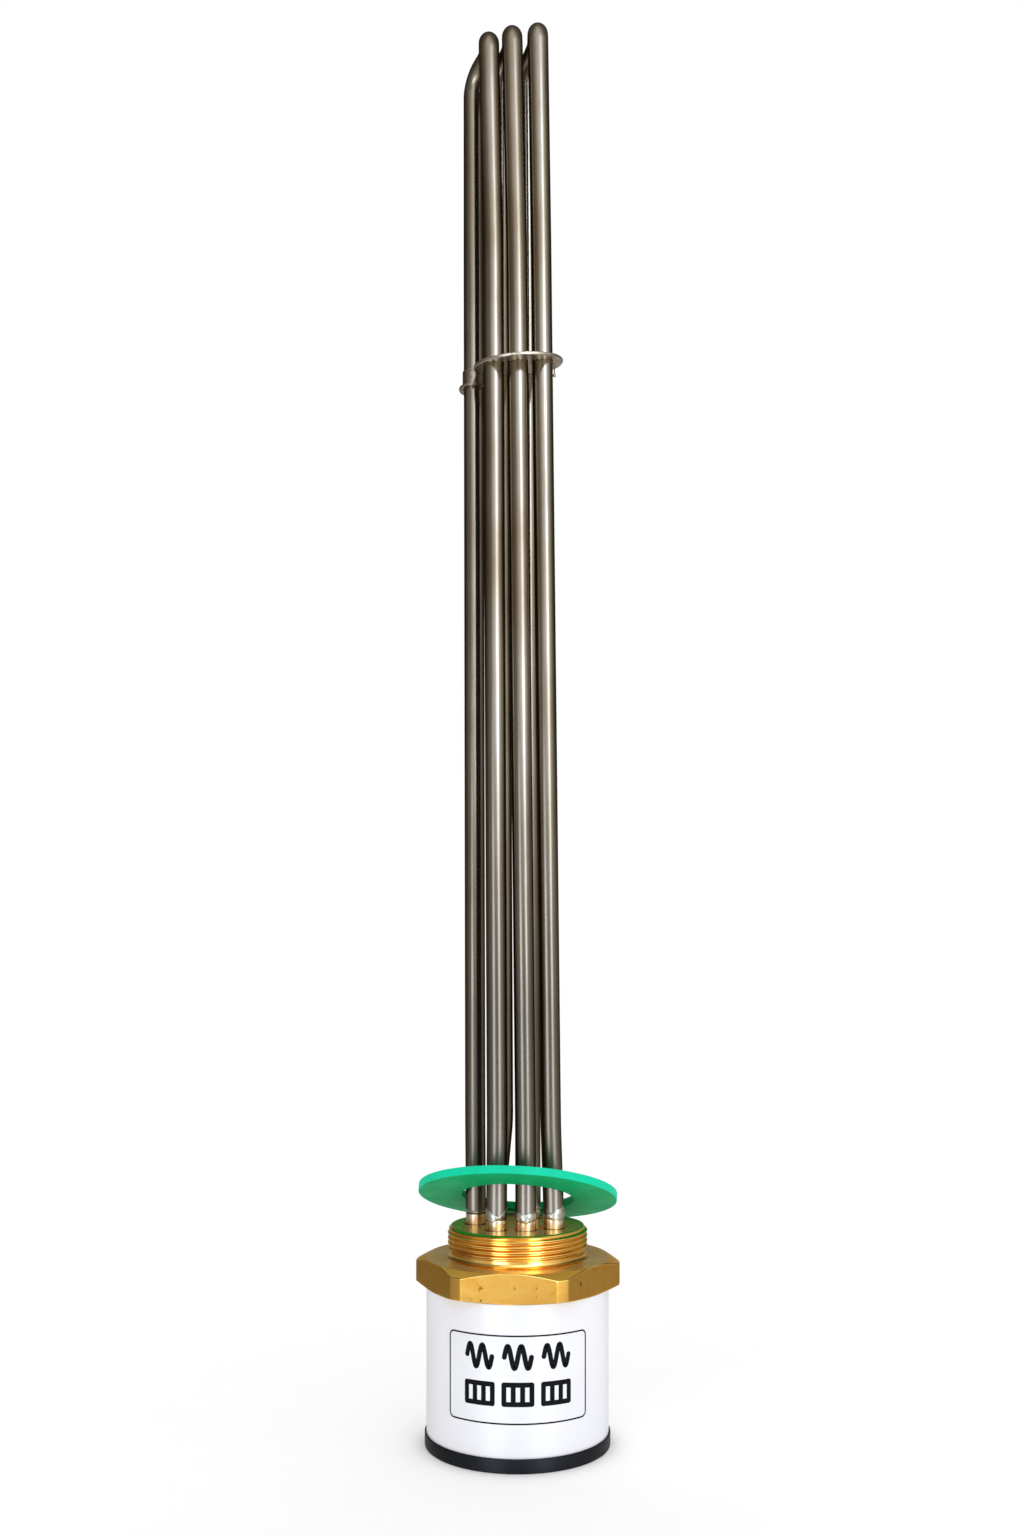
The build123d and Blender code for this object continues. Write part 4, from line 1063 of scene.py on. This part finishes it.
class HEATER_OT_stage(bpy.types.Operator):
    """Adds the pale floor, the soft lights and the camera at the photo's angle"""
    bl_idname = "heater.stage"
    bl_label = "Stage"

    def execute(self, context):
        settings = context.scene.heater_stage
        self.floor(settings)
        self.world(context.scene, settings)
        self.dome(settings)
        self.backdrop()
        self.camera(context.scene)
        context.scene.view_settings.view_transform = "Standard"
        return {"FINISHED"}

    def floor(self, settings):
        """A flat disc of floor far larger than the view. It takes soft shade, and shiny metal doesn't
        mirror it, as when a photographer masks a bright table."""
        material, tree, shader, place = new_material("pale_floor")
        speck = mottle(tree, place, 25 * MM)
        colour = blended(tree, speck, 0.3, 0.7, 1, tuple(settings.floor), linear("#FDFDFD"))
        fill(tree, shader, {"Base Color": colour, "Roughness": 1.0, "Specular IOR Level": 0.0})
        patches = Patchwork()
        patches.plate(0.0, [circle(FLOOR_R, around(64))])
        floor = patches.object("floor", [material])
        floor.visible_glossy = floor.visible_shadow = False

    def world(self, scene, settings):
        """White above the floor for soft shade, dimmer to the left and a little to the right, brighter
        overhead and behind the camera, and unseen in reflections."""
        world = bpy.data.worlds.new("backdrop")
        world.use_nodes = True
        tree = world.node_tree
        tree.nodes.clear()
        direction = add_node(tree, "ShaderNodeTexCoord").outputs["Generated"]
        split = add_node(tree, "ShaderNodeSeparateXYZ", None, {"Vector": direction}).outputs
        # Each change of the light: along which axis, from where to where, and its value at both
        level = 0.0
        for operation, axis, start, end, first, last in (
            ("ADD", "Z", -0.03, -0.004, 0.0, settings.white),
            ("MULTIPLY", "X", -1.0, -0.4, 0.2, 1.0),
            ("MULTIPLY", "X", 1.0, 0.4, 0.75, 1.0),
            ("ADD", "Z", 0.5, 1.0, 0.0, 0.33),
            ("ADD", "Y", -0.4, -1.0, 0.0, 0.22),
        ):
            change = add_node(tree, "ShaderNodeMapRange", None, {
                "Value": split[axis], "From Min": start, "From Max": end, "To Min": first, "To Max": last,
            }).outputs[0]
            sums = {"operation": operation}
            level = add_node(tree, "ShaderNodeMath", sums, {0: level, 1: change}).outputs[0]
        white = add_node(tree, "ShaderNodeBackground", None, {"Color": linear("#FFFFFF"), "Strength": level})
        add_node(tree, "ShaderNodeOutputWorld", None, {"Surface": white.outputs[0]})
        scene.world = world
        world.cycles_visibility.glossy = False

    # What shiny surfaces reflect: azimuths in degrees to the right of the line from heater to camera,
    # each with its radiance as a share of the strip lights'. Low down, two strips stand beside the
    # camera and the fill is broad in front and dim at the sides. Higher up, only a wider right strip is left.
    # Below them all is one grey.
    LOW_WALLS = (
        (-180, 0.13), (-150, 0.13), (-138, 0.11), (-105, 0.09), (-90, 0.1), (-76, 0.2), (-60, 0.24),
        (-44, 0.22), (-36, 2.2), (-23, 2.2), (-15, 0.36), (0, 0.25), (18, 0.25), (26, 2.5), (36, 2.5),
        (42, 0.55), (54, 0.42), (70, 0.3), (86, 0.2), (104, 0.18), (138, 0.14), (150, 0.13), (180, 0.13),
    )
    HIGH_WALLS = (
        (-180, 0.04), (-115, 0.02), (-92, 0.05), (-66, 0.1), (-38, 0.13), (-18, 0.4), (0, 0.8), (14, 1.2),
        (22, 2.6), (34, 2.6), (44, 0.7), (60, 0.4), (76, 0.2), (95, 0.07), (120, 0.03), (180, 0.04),
    )
    BELOW = (0.2, 0.2, 0.2, 1.0)

    def dome(self, settings):
        """A sphere that only reflections see: the walls by azimuth, darker overhead, and one grey below."""
        material, tree, glow, place = new_material("reflected_studio", "ShaderNodeEmission")
        unit = add_node(tree, "ShaderNodeVectorMath", {"operation": "NORMALIZE"}, {0: place})
        x, y, z = add_node(tree, "ShaderNodeSeparateXYZ", None, {"Vector": unit.outputs["Vector"]}).outputs
        ahead = add_node(tree, "ShaderNodeMath", {"operation": "MULTIPLY"}, {0: y, 1: -1.0}).outputs[0]
        azimuth = add_node(tree, "ShaderNodeMath", {"operation": "ARCTAN2"}, {0: x, 1: ahead}).outputs[0]
        aside = add_node(tree, "ShaderNodeMath", {"operation": "ABSOLUTE"}, {0: azimuth}).outputs[0]
        turn = add_node(tree, "ShaderNodeMapRange", None, {
            "Value": azimuth, "From Min": -math.pi, "From Max": math.pi,
        }).outputs[0]
        walls = []
        for stops in (self.LOW_WALLS, self.HIGH_WALLS):
            wall = add_node(tree, "ShaderNodeValToRGB", None, {"Fac": turn})
            elements = wall.color_ramp.elements
            while len(elements) < len(stops):
                elements.new(0.5)
            for element, (angle, level) in zip(elements, stops):
                element.position, element.color = 0.5 + angle / 360, (level, level, level, 1.0)
            walls.append(wall.outputs["Color"])
        above = add_node(tree, "ShaderNodeMapRange", None, {
            "Value": aside, "From Min": math.radians(20), "From Max": math.radians(70),
            "To Min": 0.6, "To Max": 0.07,
        }).outputs[0]
        level = blended(tree, z, 0.1, 0.3, 1, *walls)
        level = blended(tree, z, 0.6, 0.85, 1, level, above)
        level = blended(tree, z, -0.25, -0.6, 1, level, self.BELOW)
        level = blended(tree, level, 0.3, 0.8, 1, level, settings.strip_tint, "MULTIPLY")
        fill(tree, glow, {"Color": level, "Strength": settings.strip})
        dome = self.sphere("reflected_studio", DOME_R, material)
        dome.visible_camera = dome.visible_diffuse = dome.visible_shadow = dome.visible_transmission = False

    def backdrop(self):
        """A plain white sphere that only the eye sees, behind everything from every side."""
        material, tree, glow = new_material("white_backdrop", "ShaderNodeEmission")[:3]
        fill(tree, glow, {"Color": linear("#FFFFFF"), "Strength": 1.0})
        backdrop = self.sphere("backdrop", BACKDROP_R, material)
        backdrop.visible_diffuse = backdrop.visible_glossy = False
        backdrop.visible_shadow = backdrop.visible_transmission = False

    def sphere(self, name, radius, material):
        """A sphere round the stage's middle: radius (sin p cos a, sin p sin a, cos p)."""
        fall = np.linspace(0, math.pi, 49)
        patches = Patchwork()
        patches.turned(np.column_stack([radius * np.sin(fall), radius * np.cos(fall)]), around(96))
        return patches.object(name, [material])

    def camera(self, scene):
        """A level camera whose focal length and upward shift come from the photo's own pixels."""
        sensor = 36.0
        camera = bpy.data.cameras.new("photo_camera")
        camera.sensor_width = sensor
        camera.lens = sensor * PHOTO_FOCAL / PHOTO_HEIGHT
        camera.shift_y = (PHOTO_HORIZON - PHOTO_HEIGHT / 2) / PHOTO_HEIGHT
        camera.clip_start = 0.01
        holder = bpy.data.objects.new("photo_camera", camera)
        holder.location = CAMERA_PLACE
        holder.rotation_euler = (math.pi / 2, 0, 0)
        scene.collection.objects.link(holder)
        scene.camera = holder


class HEATER_PT_panel(bpy.types.Panel):
    """Lists the heater's pieces in the sidebar"""
    bl_idname = "HEATER_PT_panel"
    bl_label = "Immersion heater"
    bl_space_type = "VIEW_3D"
    bl_region_type = "UI"
    bl_category = "Heater"

    def draw(self, context):
        for operator in OPERATORS:
            self.layout.operator(operator.bl_idname)
        for name, group in SETTINGS:
            box = self.layout.box()
            for prop in group.__annotations__:
                box.prop(getattr(context.scene, name), prop)


SETTINGS = (
    ("heater_tubes", TubeSettings), ("heater_plug", PlugSettings), ("heater_feet", FootSettings),
    ("heater_gasket", GasketSettings), ("heater_cover", CoverSettings), ("heater_stage", StageSettings),
)
OPERATORS = (
    HEATER_OT_stage, HEATER_OT_tubes, HEATER_OT_plug, HEATER_OT_ferrules, HEATER_OT_braze, HEATER_OT_gasket,
    HEATER_OT_cover, HEATER_OT_end_cap, HEATER_OT_label, HEATER_OT_spacer, HEATER_OT_inner_parts,
)


def register():
    for name, group in SETTINGS:
        bpy.utils.register_class(group)
        setattr(bpy.types.Scene, name, bpy.props.PointerProperty(type=group))
    for each in OPERATORS + (HEATER_PT_panel,):
        bpy.utils.register_class(each)


def unregister():
    for each in reversed(OPERATORS + (HEATER_PT_panel,)):
        bpy.utils.unregister_class(each)
    for name, group in reversed(SETTINGS):
        delattr(bpy.types.Scene, name)
        bpy.utils.unregister_class(group)


def main():
    """Builds every piece."""
    register()
    bpy.ops.heater.stage()
    bpy.ops.heater.tubes()
    bpy.ops.heater.plug()
    bpy.ops.heater.ferrules()
    bpy.ops.heater.braze()
    bpy.ops.heater.gasket()
    bpy.ops.heater.cover()
    bpy.ops.heater.end_cap()
    bpy.ops.heater.label()
    bpy.ops.heater.spacer()
    bpy.ops.heater.inner_parts()


if __name__ == "__main__":
    main()
